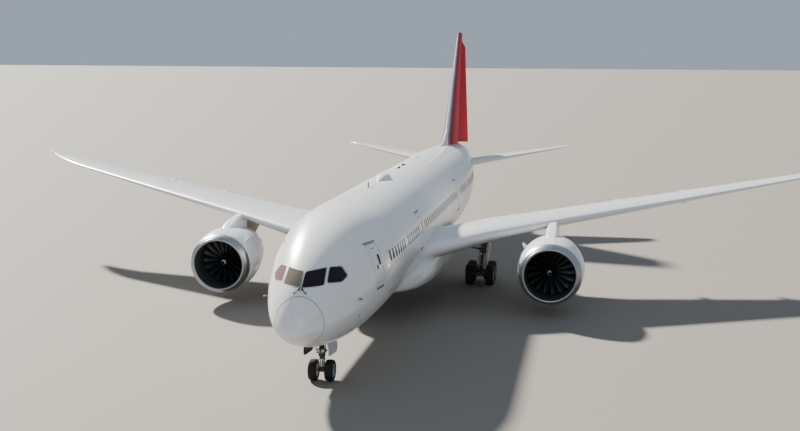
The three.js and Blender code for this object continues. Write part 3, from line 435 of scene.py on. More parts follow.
def carve(body, cutters, operation="DIFFERENCE"):
    """A mesh with closed shapes taken away, joined on or kept in common, as a plain mesh without materials."""
    body = mesh_from("carved", body) if isinstance(body, tuple) else body
    carved = bpy.data.objects.new("carved", body)
    bpy.context.scene.collection.objects.link(carved)
    tools = []
    for cutter in cutters:
        tool_mesh = mesh_from("cutter", cutter) if isinstance(cutter, tuple) else cutter
        tools.append(bpy.data.objects.new("cutter", tool_mesh))
        bpy.context.scene.collection.objects.link(tools[-1])
        step = carved.modifiers.new("carve", "BOOLEAN")
        step.operation = operation
        step.solver = "EXACT"
        step.object = tools[-1]
    bpy.context.view_layer.update()
    result = bpy.data.meshes.new_from_object(carved.evaluated_get(bpy.context.evaluated_depsgraph_get()))
    for thing in [carved, *tools]:
        bpy.data.objects.remove(thing)
    result.materials.clear()
    return result


def real_places(mesh, domain="vertices"):
    """The places of a mesh's vertices, or of its faces' middles, in real metres as x, s and z."""
    items = getattr(mesh, domain)
    places = np.zeros(len(items) * 3)
    items.foreach_get("co" if domain == "vertices" else "center", places)
    return places.reshape(-1, 3) / MODEL + [0, LENGTH / 2, 0]


def mark_faces(mesh, index):
    """Gives each face its material's number."""
    mesh.polygons.foreach_set("material_index", np.asarray(index, np.int32))


def depth_below_skin(places):
    """Roughly how far places lie inside the body's skin, from the share of the way to its middle."""
    x, s, z = places.T
    half, middle, reach = section_reach(s, z)
    return (1 - np.hypot(x / half, (z - middle) / reach)) * np.minimum(half, reach)


def skin_slab(outline_s, outline_a, out, into, rings=7):
    """A closed slab that follows the skin: rings that shrink to the outline's middle, out of the skin and into it."""
    outline_s, outline_a = np.asarray(outline_s, float), np.asarray(outline_a, float)
    shares = np.linspace(0.08, 1, rings)
    ring_s = outline_s.mean() + shares[:, None] * (outline_s - outline_s.mean())
    ring_a = outline_a.mean() + shares[:, None] * (outline_a - outline_a.mean())
    return closed(np.concatenate([skin(ring_s, ring_a, out), skin(ring_s, ring_a, -into)[::-1]]))


def round_corners(points, radius, per_edge=6):
    """A polygon's outline with each corner a quadratic curve that starts a radius before it, and edges in steps."""
    points = np.asarray(points, float)
    curves = []
    for before, corner, after in zip(np.roll(points, 1, 0), points, np.roll(points, -1, 0)):
        enter = corner + (before - corner) * min(0.45, radius / np.linalg.norm(before - corner))
        leave = corner + (after - corner) * min(0.45, radius / np.linalg.norm(after - corner))
        t = np.linspace(0, 1, 5)[:, None]
        curves.append((1 - t) ** 2 * enter + 2 * t * (1 - t) * corner + t**2 * leave)
    edges = []
    for curve, following in zip(curves, curves[1:] + curves[:1]):
        t = (np.arange(1, per_edge) / per_edge)[:, None]
        edges.append(np.vstack([curve, curve[-1] + t * (following[0] - curve[-1])]))
    return np.concatenate(edges)


def side_outline(s0, s1, z0, z1, radius, side, grow=0.0, per_edge=10):
    """A door's or window's outline on the body's side, as stations and skin angles."""
    corners = [(s0 - grow, z0 - grow), (s1 + grow, z0 - grow), (s1 + grow, z1 + grow), (s0 - grow, z1 + grow)]
    ring = round_corners(corners, radius + grow, per_edge=per_edge)
    return ring[:, 0], skin_angle(ring[:, 0], ring[:, 1], side)


# Doors: number, body part, first and last station.
PASSENGER_DOORS = [
    (1, "forward", 5.38, 6.54),
    (2, "center", 16.9, 18.06),
    (3, "center", 34.6, 35.76),
    (4, "aft", 49.6, 50.76),
]
DOOR_SILL, DOOR_HEAD = 4.36, 6.34
CARGO_DOORS = [
    ("cargo_door_forward", "forward", 9.2, 11.9),
    ("cargo_door_aft", "aft", 42.4, 45.0),
]
CARGO_LOW, CARGO_HIGH = math.radians(-54), math.radians(-16)
# Metres round the skin for each radian. The top band of a cargo opening is raised, so that the door turns clear.
CARGO_STRETCH, CARGO_TOP_BAND, CARGO_RAISE = 2.8, 0.16, 0.06
DOOR_CORNER = 0.16
JOINT_GAP = 0.012

# Cabin windows: one at each pitch, except where a door stands.
WINDOW_PITCH = 0.61
WINDOW_WIDTH, WINDOW_HEIGHT, WINDOW_MIDDLE = 0.27, 0.47, 5.5
window_stations = [
    (part, s)
    for part, s0, s1 in (("forward", 7.95, 12.1), ("center", 12.8, 40.8), ("aft", 41.3, 48.9))
    for s in np.arange(s0, s1, WINDOW_PITCH)
    if all(s < door[2] - 0.3 or s > door[3] + 0.3 for door in PASSENGER_DOORS)
]

# Cockpit panes by their corners seen from ahead: x and z.
COCKPIT_PANES = {
    "windshield": [(0.055, 5.13), (0.89, 5.18), (0.84, 5.81), (0.05, 5.7)],
    "side_window": [(1.0, 5.25), (1.5, 5.19), (1.64, 5.38), (1.36, 5.77), (0.95, 5.81)],
}


def cargo_outline(s0, s1, radius, grow):
    """A cargo door's outline as stations and lengths round the skin, grown by a margin."""
    corners = [(s0, CARGO_LOW), (s1, CARGO_LOW), (s1, CARGO_HIGH), (s0, CARGO_HIGH)]
    ring = round_corners([(s, a * CARGO_STRETCH) for s, a in corners], radius, per_edge=14)
    away = ring - ring.mean(0)
    return ring.mean(0) + away * (1 + grow / np.linalg.norm(away, axis=1, keepdims=True))


def pane_outline(corners, side, grow=0.0, radius=0.07):
    """A cockpit pane's outline as stations and skin angles, with round corners, grown by a margin.

    The station where the nose's skin passes a given x and z comes from halving a range of stations.
    """
    ring = round_corners(corners, radius)
    away = ring - ring.mean(0)
    ring = ring + away * grow / np.linalg.norm(away, axis=1, keepdims=True)
    x, z = np.abs(ring[:, 0]), ring[:, 1]
    near, far = np.full(len(x), 0.3), np.full(len(x), 5.0)
    for _ in range(40):
        s = (near + far) / 2
        half, middle, reach = section_reach(s, z)
        outside = np.hypot(x / half, (z - middle) / reach) > 1
        near, far = np.where(outside, s, near), np.where(outside, far, s)
    a = np.arctan2((z - middle) / reach, x / half)
    return s, a if side > 0 else np.pi - a


def window_outline(s, side, grow=0.0):
    """A cabin window's round cornered outline as stations and skin angles."""
    low, high = WINDOW_MIDDLE - WINDOW_HEIGHT / 2, WINDOW_MIDDLE + WINDOW_HEIGHT / 2
    return side_outline(s - WINDOW_WIDTH / 2, s + WINDOW_WIDTH / 2, low, high, 0.11, side, grow, per_edge=2)


def box(low, high):
    """A plain box between two places, for cutting."""
    (x0, s0, z0), (x1, s1, z1) = low, high
    return closed([[(x, s, z) for x, z in ((x0, z0), (x1, z0), (x1, z1), (x0, z1))] for s in (s0, s1)])


def barrel(stations, around=160):
    """A length of the body as a closed skin through rings at the given stations."""
    a = even_turns(around)
    return closed(skin(np.asarray(stations)[:, None], a[None, :]))


SIDES = [(1, "left"), (-1, "right")]
pockets = {"forward": [], "center": [], "aft": []}
for _, part, s0, s1 in PASSENGER_DOORS:
    for side, _ in SIDES:
        pockets[part].append(skin_slab(*side_outline(s0, s1, DOOR_SILL, DOOR_HEAD, DOOR_CORNER, side), 0.2, 0.08))
for _, part, s0, s1 in CARGO_DOORS:
    ring = cargo_outline(s0, s1, 0.06, JOINT_GAP)
    ring[:, 1] += np.where(ring[:, 1] > CARGO_STRETCH * CARGO_HIGH - CARGO_TOP_BAND, CARGO_RAISE, 0)
    pockets[part].append(skin_slab(ring[:, 0], np.pi - ring[:, 1] / CARGO_STRETCH, 0.2, 0.17, rings=12))
for corners in COCKPIT_PANES.values():
    for side, hand in SIDES:
        pockets["forward"].append(skin_slab(*pane_outline(corners, side), 0.15, 0.03))
for part, s in window_stations:
    for side, hand in SIDES:
        pockets[part].append(skin_slab(*window_outline(s, side, 0.012), 0.1, 0.025, rings=3))
# The nose gear well's half width, first and last station, and roof.
WELL_HALF, WELL_S0, WELL_S1, WELL_ROOF = 0.52, 3.75, 5.75, 2.45
# The exhaust of the small turbine in the tail cone: its axis's height, its radius and its depth.
EXHAUST_Z, EXHAUST_RADIUS, EXHAUST_DEPTH = 6.27, 0.24, 0.55
turn = even_turns(48)
hole = points_at(EXHAUST_RADIUS * np.cos(turn), 0, EXHAUST_Z + EXHAUST_RADIUS * np.sin(turn))
pockets["aft"].append(closed([hole + [0, LENGTH - EXHAUST_DEPTH, 0], hole + [0, LENGTH + 0.1, 0]]))
pockets["forward"].append(box((-WELL_HALF, WELL_S0, 1.0), (WELL_HALF, WELL_S1, WELL_ROOF)))

# Each section's faces inside the skin take the near black finish: dark seams round doors and panes, and painted shade
# in the nose gear well.
forward_start = RADOME_JOINT + JOINT_GAP
for part, stations in (
    ("forward", forward_start + (FORWARD_JOINT - RADOME_JOINT - JOINT_GAP) * np.linspace(0, 1, 110) ** 1.5),
    ("center", np.linspace(FORWARD_JOINT, AFT_JOINT, 40)),
    ("aft", np.linspace(AFT_JOINT, LENGTH - 0.02, 90)),
):
    section = carve(barrel(stations), pockets[part])
    mark_faces(section, depth_below_skin(real_places(section, "polygons")) > 0.022)
    paints = [barrel_paint, seam_dark_and_well_shade]
    add_piece(f"fuselage_{part}_skin", section, paints, slot="white_paint", replaces=[f"fuselage_{part}"])

# Radome.
# A moulded glass fibre cover over the weather radar, held by latches, with a raised seal at its joint to the body.
# Thin metal strips run aft along it, to lead lightning off.
RADOME_START = 0.017
radome_stations = RADOME_START + (RADOME_JOINT - JOINT_GAP - RADOME_START) * np.linspace(0, 1, 30) ** 1.6
add_piece("radome_cover", barrel(radome_stations, 120), white_paint, slot="white_paint", replaces=["radome"])
a = even_turns(120)
seal_rows = [(RADOME_JOINT - 0.014, -0.01), (RADOME_JOINT - 0.014, 0.004), (RADOME_JOINT + 0.014, 0.004)]
seal_rows.append((RADOME_JOINT + 0.014, -0.01))
seal = closed([skin(s, a, out) for s, out in seal_rows], joined=True)
add_piece("radome_seal", seal, coated("seal_grey", (0.3, 0.31, 0.32), gloss=0.5, coat=0.0))
strips = []
for a in np.radians(np.arange(8) * 45 + 22.5):
    ring = [(a - 0.011, -0.004), (a - 0.011, 0.002), (a + 0.011, 0.002), (a + 0.011, -0.004)]
    strips.append(closed([[skin(s, b, out) for b, out in ring] for s in np.linspace(0.16, 0.7, 14)]))
strip_grey = coated("strip_metal", (0.62, 0.64, 0.66), gloss=0.35, metal=0.2, coat=0.0)
add_piece("radome_strips", together(strips), strip_grey)

# Passenger doors.
# Plug doors skinned in carbon like the barrel, flush with it inside a thin dark seam. Each carries a small window, a
# handle in a recess, a rain gutter above its head and a scuff plate along its sill.


def tinted_glass(name, dark, light):
    """A pane seen from outside, dark or coloured pale as painted sunlight on it, with a smeared tint."""
    material, tree, shader = new_material(name)
    shader.inputs["Roughness"].default_value = 0.1
    shader.inputs["Specular IOR Level"].default_value = 0.08
    tree.links.new(colour_mix(tree, object_noise(tree, 1.6), dark, light), shader.inputs["Base Color"])
    return material


glass_dark = tinted_glass("tinted_glass", (0.008, 0.007, 0.014), (0.045, 0.024, 0.036))
handle_metal = coated("handle_metal", (0.45, 0.46, 0.47), gloss=0.35, metal=0.9, coat=0.0)
gutter_dark = coated("gutter_dark", (0.16, 0.165, 0.17), gloss=0.5, coat=0.0)


def skin_ring(outline_s, outline_a, width, out, into):
    """A closed frame along an outline on the skin: its inner edge on the outline, its outer one wider by a margin."""
    s, a = np.asarray(outline_s, float), np.asarray(outline_a, float)
    reach = np.stack([s - s.mean(), (a - a.mean()) * 2.6], -1)
    reach /= np.linalg.norm(reach, axis=1, keepdims=True)
    wide_s, wide_a = s + reach[:, 0] * width, a + reach[:, 1] * width / 2.6
    rows = [skin(s, a, -into), skin(s, a, out), skin(wide_s, wide_a, out), skin(wide_s, wide_a, -into)]
    return closed(np.array(rows), joined=True)


def skin_strip(s0, z0, s1, z1, width, side, out=0.012, into=0.01):
    """A thin closed strip laid on the skin between two places of the side, with tapered ends."""
    t = np.linspace(0, 1, 16)
    s, z = s0 + t * (s1 - s0), z0 + t * (z1 - z0)
    lean = np.array([-(z1 - z0), s1 - s0]) / math.hypot(s1 - s0, z1 - z0) * width / 2
    taper = np.minimum(1, np.minimum(t, 1 - t) * 12 + 0.3)
    low_s, low_z, high_s, high_z = s - lean[0] * taper, z - lean[1] * taper, s + lean[0] * taper, z + lean[1] * taper
    low, high = skin_angle(low_s, low_z, side), skin_angle(high_s, high_z, side)
    rows = [skin(low_s, low, -into), skin(low_s, low, out), skin(high_s, high, out), skin(high_s, high, -into)]
    return closed(np.array(rows).transpose(1, 0, 2))


for number, _, s0, s1 in PASSENGER_DOORS:
    for side, hand in SIDES:
        outline = side_outline(s0, s1, DOOR_SILL, DOOR_HEAD, DOOR_CORNER, side, grow=-0.024)
        pane = side_outline(s1 - 0.46, s1 - 0.18, 5.33, 5.83, 0.11, side)
        recess = side_outline(s0 + 0.36, s0 + 0.6, 5.18, 5.38, 0.06, side)
        door = carve(
            mesh_from("door", skin_slab(*outline, 0.0, 0.035, rings=12)),
            [skin_slab(*pane, 0.1, 0.012, rings=3), skin_slab(*recess, 0.1, 0.016, rings=3)],
        )
        mark_faces(door, depth_below_skin(real_places(door, "polygons")) > 0.008)
        node = f"passenger_door_{number}_{hand}"
        add_piece(f"door_{number}_panel_{hand}", door, [white_paint, seam_dark_and_well_shade], slot="white_paint", replaces=[node])
        window = skin_slab(*side_outline(s1 - 0.45, s1 - 0.19, 5.34, 5.82, 0.1, side), -0.004, 0.012, rings=3)
        add_piece(f"door_{number}_window_{hand}", window, glass_dark, slot="tinted_glass")
        fittings = [
            skin_strip(s0 + 0.38, 5.28, s0 + 0.58, 5.28, 0.06, side, 0.006, 0.02),
            skin_strip(s0 + 0.2, 4.56, s1 - 0.2, 4.56, 0.018, side, 0.003, 0.01),
            skin_strip(s0 + 0.36, 6.12, s1 - 0.36, 6.12, 0.03, side, 0.003, 0.01),
        ]
        add_piece(f"door_{number}_handle_{hand}", together(fittings), seam_dark_and_well_shade)
        gutter = [
            skin_strip(s0 - 0.06, DOOR_HEAD + 0.05, s1 + 0.06, DOOR_HEAD + 0.05, 0.05, side, 0.025),
            skin_strip(s0 + 0.04, DOOR_SILL - 0.04, s1 - 0.04, DOOR_SILL - 0.04, 0.11, side, 0.012),
        ]
        add_piece(f"door_{number}_gutter_and_sill_{hand}", together(gutter), gutter_dark)

# Cargo doors.
# Two large doors low on the starboard side open outwards about a hinge along their top edge. Each has a handle
# panel, a row of latch covers along its lower edge and a small vent flap.
for name, _, s0, s1 in CARGO_DOORS:
    ring = cargo_outline(s0, s1, 0.13, -0.014)
    door = skin_slab(ring[:, 0], np.pi - ring[:, 1] / CARGO_STRETCH, 0.0, 0.12, rings=14)
    door_mesh = mesh_from(name, door)
    mark_faces(door_mesh, depth_below_skin(real_places(door_mesh, "polygons")) > 0.02)
    add_piece(f"{name}_panel", door_mesh, [white_paint, seam_dark_and_well_shade], body=name, slot="white_paint", replaces=[name])
    latches = []
    for share in np.linspace(0.12, 0.88, 7):
        s = s0 + share * (s1 - s0)
        z = skin(s, math.pi - CARGO_LOW - 0.06)[2]
        outline = side_outline(s - 0.09, s + 0.09, z - 0.03, z + 0.03, 0.02, -1)
        latches.append(skin_ring(*outline, 0.008, 0.003, 0.004))
    middle = (s0 + s1) / 2
    latches.append(skin_ring(*side_outline(middle - 0.2, middle + 0.2, 3.5, 3.72, 0.04, -1), 0.012, 0.004, 0.004))
    latches.append(skin_ring(*side_outline(s0 + 0.3, s0 + 0.6, 3.45, 3.72, 0.05, -1), 0.01, 0.004, 0.004))
    add_piece(f"{name}_latches", together(latches), seam_dark_and_well_shade, body=name)

# Cockpit windows.
# Four heated laminated panes, clamped from inside by pale frames with a dark bead. The starboard panes are coloured
# paler and warmer, as painted sunlight on them. The wipers park along the centre post, with their arms splayed at its
# foot.
frame_grey = coated("pane_frame", (0.5, 0.51, 0.52), gloss=0.4, coat=0.1)
bead_dark = coated("pane_bead", (0.03, 0.03, 0.033), gloss=0.5, coat=0.0)
# Round each pane: name, inner and outer margin, the corners' heights out of the skin, and finish.
PANE_EDGES = [
    ("bead", (-0.016, 0.006), (-0.02, 0.001, 0.003, -0.02), bead_dark),
    ("frame", (0.006, 0.045), (-0.01, 0.004, 0.002, -0.01), frame_grey),
]
# Pale warm glass for the starboard panes: painted sunlight, for the high starboard sun falling on them.
sunlit_glass = {
    "windshield": tinted_glass("glass_painted_sunlit_beige", (0.1, 0.085, 0.08), (0.22, 0.19, 0.155)),
    "side_window": tinted_glass("glass_painted_sunlit_pink", (0.3, 0.19, 0.18), (0.17, 0.1, 0.1)),
}
for side, hand in SIDES:
    for name, corners in COCKPIT_PANES.items():
        pane = skin_slab(*pane_outline(corners, side, -0.018), -0.005, 0.03, rings=8)
        glass = glass_dark if side > 0 else sunlit_glass[name]
        add_piece(f"{name}_pane_{hand}", pane, glass, slot="tinted_glass", replaces=[f"{name}_{hand}"])
        for label, margins, heights, finish in PANE_EDGES:
            inner, outer = (pane_outline(corners, side, margin) for margin in margins)
            loop = [skin(*edge, height) for edge, height in zip((inner, inner, outer, outer), heights)]
            add_piece(f"{name}_{label}_{hand}", closed(np.array(loop), joined=True), finish)


def tube(path, radius, around=12):
    """A round rod or hose along a path: rings across the path's own direction, closed at both ends."""
    path = np.asarray(path, float)
    radius = np.broadcast_to(np.asarray(radius, float), len(path))
    ahead = np.gradient(path, axis=0)
    ahead /= np.linalg.norm(ahead, axis=1, keepdims=True)
    first = np.cross(ahead, np.eye(3)[np.abs(ahead).max(0).argmin()])
    first /= np.linalg.norm(first, axis=1, keepdims=True)
    second = np.cross(ahead, first)
    turn = even_turns(around)
    ring = np.cos(turn)[None, :, None] * first[:, None] + np.sin(turn)[None, :, None] * second[:, None]
    return closed(path[:, None] + ring * radius[:, None, None])


def table_at(table, at, curved_from=np.inf):
    """A table's other columns at places along its first: straight between rows, and past a place a cubic.

    The cubic's slope at each row is the mean of the straight slopes beside that row.
    """
    table, at = np.asarray(table, float), np.asarray(at, float)
    key, values = table[:, 0], table[:, 1:]
    slopes = np.diff(values, axis=0) / np.diff(key)[:, None]
    tangents = np.vstack([slopes[:1], (slopes[1:] + slopes[:-1]) / 2, slopes[-1:]])
    k = np.clip(np.searchsorted(key, at, side="right") - 1, 0, len(key) - 2)
    width = (key[k + 1] - key[k])[..., None]
    t = (at - key[k])[..., None] / width
    straight = values[k] + t * (values[k + 1] - values[k])
    start = (2 * t**3 - 3 * t**2 + 1) * values[k] + (t**3 - 2 * t**2 + t) * width * tangents[k]
    finish = (3 * t**2 - 2 * t**3) * values[k + 1] + (t**3 - t**2) * width * tangents[k + 1]
    return np.where((at >= curved_from)[..., None], start + finish, straight)


def curve_through(points):
    """A smooth path through a few points."""
    points = np.asarray(points, float)
    table = np.column_stack([np.linspace(0, 1, len(points)), points])
    return table_at(table, np.linspace(0, 1, 24), 0)


def nose_place(x, z, out=0.0):
    """The place on the nose's skin seen at x and z from ahead, moved out of it."""
    s, a = pane_outline([(x, z), (x + 0.01, z), (x + 0.01, z + 0.01), (x, z + 0.01)], 1, 0, 0.001)
    return skin(s.mean(), a.mean(), out)


for side, hand in SIDES:
    arm = [nose_place(x, z, out) for x, z, out in ((0.25, 4.9, 0.03), (0.13, 4.98, 0.05), (0.04, 5.14, 0.04))]
    blade = [nose_place(0.035, z, 0.03) for z in (5.08, 5.25, 5.45, 5.62)]
    hub = nose_place(0.25, 4.9)
    parts = [
        tube(curve_through(arm), 0.02),
        tube(curve_through(blade), 0.014),
        tube([hub, nose_place(0.25, 4.9, 0.045)], 0.035),
        tube([nose_place(0.05, 5.0, 0), nose_place(0.05, 5.06, 0.05)], 0.03),
    ]
    add_piece(f"wiper_{hand}", for_side(together(parts), side), bead_dark)

# Cabin windows.
# Tall panes of acrylic that darken by themselves, each set a little back in the barrel inside a dark bead. A side's
# panes are one piece, and so are its beads.
for side, hand in SIDES:
    panes = [skin_slab(*window_outline(s, side), -0.004, 0.024, rings=3) for _, s in window_stations]
    add_piece(f"cabin_windows_{hand}", together(panes), glass_dark, slot="tinted_glass")
    beads = [skin_ring(*window_outline(s, side, 0.01), 0.014, 0.002, 0.004) for _, s in window_stations]
    add_piece(f"cabin_window_beads_{hand}", together(beads), bead_dark)

# Antennas, probes and beacons.
# Blade antennas are glass fibre fins screwed to the skin. The satellite antenna lies under a white teardrop fairing
# on the crown. Heated steel probes stand out of the nose, and red beacons flash on the crown and the belly.
antenna_white = coated("antenna_white", (0.75, 0.76, 0.78), gloss=0.35, coat=0.2)
beacon_red = coated("beacon_red", (0.05, 0.004, 0.004), gloss=0.3, coat=0.0)
probe_steel = coated("probe_steel", (0.25, 0.25, 0.26), gloss=0.3, metal=1.0, coat=0.0)
ANTENNA_LEAN, ANTENNA_THICKNESS = 0.35, 0.05
# The satellite fairing's first and last station, its length and its foot's height.
SATELLITE_S0, SATELLITE_S1, SATELLITE_LENGTH, SATELLITE_Z = 19.0, 22.3, 3.3, 7.8


def foil_point(chord, ratio, incidence, u, side, camber=0.0, edge=0.008):
    """How far aft and up a foil's skin lies at share u of the chord, above (1), below (-1) or between.

    Half thickness is 5 ratio (0.2969 u^0.5 - 0.126 u - 0.3516 u^2 + 0.2843 u^3 - 0.1036 u^4) chord, and camber
    4 camber u (1 - u) chord, turned down ahead by the incidence.
    """
    tilt = np.radians(incidence)
    half = 0.2969 * np.sqrt(u) - 0.126 * u - 0.3516 * u**2 + 0.2843 * u**3 - 0.1036 * u**4
    half = np.maximum(5 * ratio * half * chord, edge * np.minimum(u * 50, 1))
    rise = 4 * camber * u * (1 - u) * chord + side * half
    return (
        u * chord * np.cos(tilt) + rise * np.sin(tilt),
        rise * np.cos(tilt) - u * chord * np.sin(tilt),
    )


def foil_steps(around):
    """Shares of the chord and sides once round a foil, from its trailing edge above: closer at both edges."""
    turn = (np.arange(around) + 0.5) / around * 2 * np.pi
    return (1 + np.cos(turn)) / 2, np.sign(np.sin(turn))


def blade_antenna(s, z, length, height, down=False):
    """A swept fin on the centre line: foil sections that shrink and move aft with height."""
    h = np.linspace(0, 1, 10)[:, None]
    u, face = foil_steps(28)
    chord = length * (1 - 0.45 * h**1.5)
    back, rise = foil_point(chord, ANTENNA_THICKNESS / length, 0, u, face, edge=0.002)
    up = (-1 if down else 1) * height * h
    return closed(points_at(rise, s + ANTENNA_LEAN * height * h + back, z + up))


blades = [
    blade_antenna(16.2, 7.8, 0.36, 0.32),
    blade_antenna(11.2, 1.87, 0.34, 0.3, down=True),
    blade_antenna(40.2, 1.88, 0.34, 0.3, down=True),
]
antenna_dark = coated("antenna_dark", (0.06, 0.065, 0.07), gloss=0.45, coat=0.0)
add_piece("blade_antennas", together(blades), antenna_dark)
s = np.linspace(SATELLITE_S0, SATELLITE_S1, 40)
t = (s - SATELLITE_S0) / SATELLITE_LENGTH
width = 0.42 * np.sin(np.pi * np.clip(t, 0.01, 0.985) ** 1.6) ** 0.7
a = np.linspace(-0.15, np.pi + 0.15, 33)
rows = points_at(width[:, None] * np.cos(a), s[:, None], SATELLITE_Z + 0.8 * width[:, None] * np.sin(a))
add_piece("satellite_fairing", closed(rows), antenna_white, slot="white_paint")
dome_turn = np.linspace(0.02, np.pi / 2, 10)


def dome(x, s, z, radius, height, down=False):
    """A small lens: rings of radius cos t and height sin t."""
    a = even_turns(20)
    ring, rise = radius * np.cos(dome_turn)[:, None], height * np.sin(dome_turn)[:, None] * (-1 if down else 1)
    return closed(points_at(x + ring * np.cos(a), s + ring * 1.6 * np.sin(a), z + rise))


add_piece("beacons", together([dome(-0.23, 27.85, 7.79, 0.15, 0.13), dome(0, 26.6, 1.5, 0.1, 0.1, True)]), beacon_red)
low_black = coated("low_antenna_black", (0.016, 0.016, 0.018), gloss=0.5, coat=0.0)
add_piece("low_antennas", together([dome(-0.31, 30.1, 7.79, 0.2, 0.12)]), low_black)
add_piece("crown_antenna", together([dome(-0.3, 36.3, 7.79, 0.26, 0.06)]), gutter_dark)
PROBE_S, PROBE_Z = 3.42, 4.25
probes = []
for side, _ in SIDES:
    foot, reach = (skin(PROBE_S, skin_angle(PROBE_S, PROBE_Z, side), out) for out in (0.0, 0.14))
    probes.append(tube([foot, foot + (reach - foot) * 0.7, reach - [0, 0.08, 0], reach - [0, 0.24, 0]], 0.024))
    plate = side_outline(PROBE_S - 0.07, PROBE_S + 0.12, PROBE_Z - 0.05, PROBE_Z + 0.05, 0.03, side)
    probes.append(skin_slab(*plate, 0.006, 0.01, rings=3))
    probes.append(skin_slab(*side_outline(3.52, 3.72, 3.43, 3.49, 0.02, side), 0.004, 0.01, rings=3))
    probes.append(skin_slab(*side_outline(5.76, 5.88, 5.24, 5.32, 0.03, side), 0.038, 0.01, rings=3))
add_piece("nose_probes", together(probes), probe_steel)
ports = []
for side, _ in SIDES:
    for s, z in ((8.3, 3.7), (8.75, 3.7), (34.4, 6.6)):
        outline = side_outline(s - 0.06, s + 0.06, z - 0.06, z + 0.06, 0.05, side)
        ports.append(skin_slab(*outline, 0.004, 0.01, rings=3))
add_piece("static_ports", together(ports), seam_dark_and_well_shade)

# Wings.
# A wing box of carbon spars, ribs and skins under pale grey paint, with its leading edge coloured brighter white as
# painted sunlight on it. Each wing is cut away for its flaps, spoilers, flaperon and aileron, and joins the body
# inside the belly fairing.
WING = [
    # span, leading edge's station and height, chord, thickness ratio, incidence
    (1.6, 18.82, 3.56, 13.4, 0.135, 3.2),
    (6.0, 21.9, 4.42, 10.5, 0.118, 2.2),
    (9.4, 24.28, 4.9, 8.2, 0.108, 1.4),
    (18.0, 30.3, 5.92, 5.3, 0.1, 0.4),
    (25.5, 35.55, 6.85, 2.9, 0.095, -0.5),
    (27.3, 37.2, 7.1, 2.25, 0.09, -0.5),
    (29.0, 39.2, 7.34, 1.35, 0.085, -0.5),
    (30.06, 40.8, 7.52, 0.5, 0.08, -0.5),
]
WING_CAMBER = 0.012
WING_ROOT, WING_TIP = WING[0][0], WING[-1][0]
RAKE_START = 25.5


def wing_point(x, s, side=1):
    """Points of the port wing at a span and a station: on its upper skin, lower skin or between."""
    x, s = np.broadcast_arrays(np.asarray(x, float), np.asarray(s, float))
    front, z, chord, ratio, incidence = np.moveaxis(table_at(WING, x, RAKE_START), -1, 0)
    u = np.clip((s - front) / chord, 0, 1)
    lower = foil_point(chord, ratio, incidence, u, -1, WING_CAMBER)
    upper = foil_point(chord, ratio, incidence, u, 1, WING_CAMBER)
    share = (side + 1) / 2
    back, rise = (low + share * (high - low) for low, high in zip(lower, upper))
    return points_at(x, front + back, z + rise)


def wing_shape(lift=0.0):
    """The whole port wing as a closed shape, before anything is cut from it."""
    x = np.concatenate([np.linspace(WING_ROOT, RAKE_START, 52), np.linspace(RAKE_START + 0.2, WING_TIP, 24)])[:, None]
    front, z, chord, ratio, incidence = np.moveaxis(table_at(WING, x, RAKE_START), -1, 0)
    u, side = foil_steps(72)
    back, rise = foil_point(chord, ratio, incidence, u, side, WING_CAMBER)
    return closed(points_at(x, front + back, z + rise + lift))


def directions(a, b, up=None):
    """Unit directions at the line from a to b: along it, aft across it, and up from both."""
    along = (b - a) / np.linalg.norm(b - a)
    back = np.array([0.0, 1.0, 0.0]) - along * along[1]
    back /= np.linalg.norm(back)
    normal = np.cross(along, back) if up is None else np.asarray(up, float)
    return along, back, normal if up is not None or normal[2] > 0 else -normal


def box_along(a, b, aft, above, below, front=0.0, before=0.0, beyond=0.0, up=None):
    """A box along the line from a to b, for cutting: past its ends, from front to aft of it, above and below it."""
    along, back, normal = directions(a, b, up)
    corners = [(front, -below), (aft, -below), (aft, above), (front, above)]
    ends = [a - along * before, b + along * beyond]
    return closed([[end + back * v + normal * w for v, w in corners] for end in ends])


def bar(a, b, radius_a, radius_b=None, around=32):
    """A round bar from a to b, closed by flat ends."""
    a, b = np.asarray(a, float), np.asarray(b, float)
    along = (b - a) / np.linalg.norm(b - a)
    first = np.cross(along, [0.3, 0.5, 0.81] if abs(along[2]) < 0.9 else [1.0, 0.1, 0.0])
    first /= np.linalg.norm(first)
    second = np.cross(along, first)
    turn = even_turns(around)[:, None]
    ring = np.cos(turn) * first + np.sin(turn) * second
    return closed([a + ring * radius_a, b + ring * (radius_a if radius_b is None else radius_b)])


# Flaps: name, inner and outer span, the front edge's stations there, the spans of their track fairings, and how far
# below the front edge their pivots lie.
FLAPS = [
    ("inboard", 3.62, 8.85, 30.75, 31.05, (6.9,), 0.7),
    ("outboard", 11.6, 19.9, 31.93, 34.88, (13.7, 18.1), 0.56),
]
FLAP_SLOT = 0.04
# Spoilers ahead of each flap: inner and outer span, and width along the flow.
SPOILERS = {"inboard": (6.1, 8.63, 1.25), "outboard": (11.82, 19.68, 1.05)}
SPOILER_THICKNESS = 0.06
# Surfaces hinged at their own nose: name, inner and outer span, the hinge's stations there.
NOSED = [
    ("flaperon", 9.45, 11.2, 31.06, 31.66),
    ("aileron", 20.35, 25.2, 35.35, 37.72),
]
MOVING_SLOT = 0.024
COVE = 1.1
# Where the slats end, as a share of the chord.
SLAT_SHARE = 0.13


def wing_marks(tree, colour):
    """The slats' trailing edge, a seam at a share of the chord, and faint seams of the skin's panels across it."""
    share = tree.nodes.new("ShaderNodeAttribute")
    share.attribute_name = "chord_share"
    slats = math_node(tree, "MULTIPLY", line_mask(tree, share.outputs["Fac"], 10.0, SLAT_SHARE, 0.004), 0.7)
    x = math_node(tree, "ABSOLUTE", axis_value(tree, "X"))
    ribs = math_node(tree, "MULTIPLY", line_mask(tree, x, 2.35, 3.1, 0.025), 0.3)
    return colour_mix(tree, math_node(tree, "MAXIMUM", slats, ribs), colour, (0.25, 0.26, 0.28))


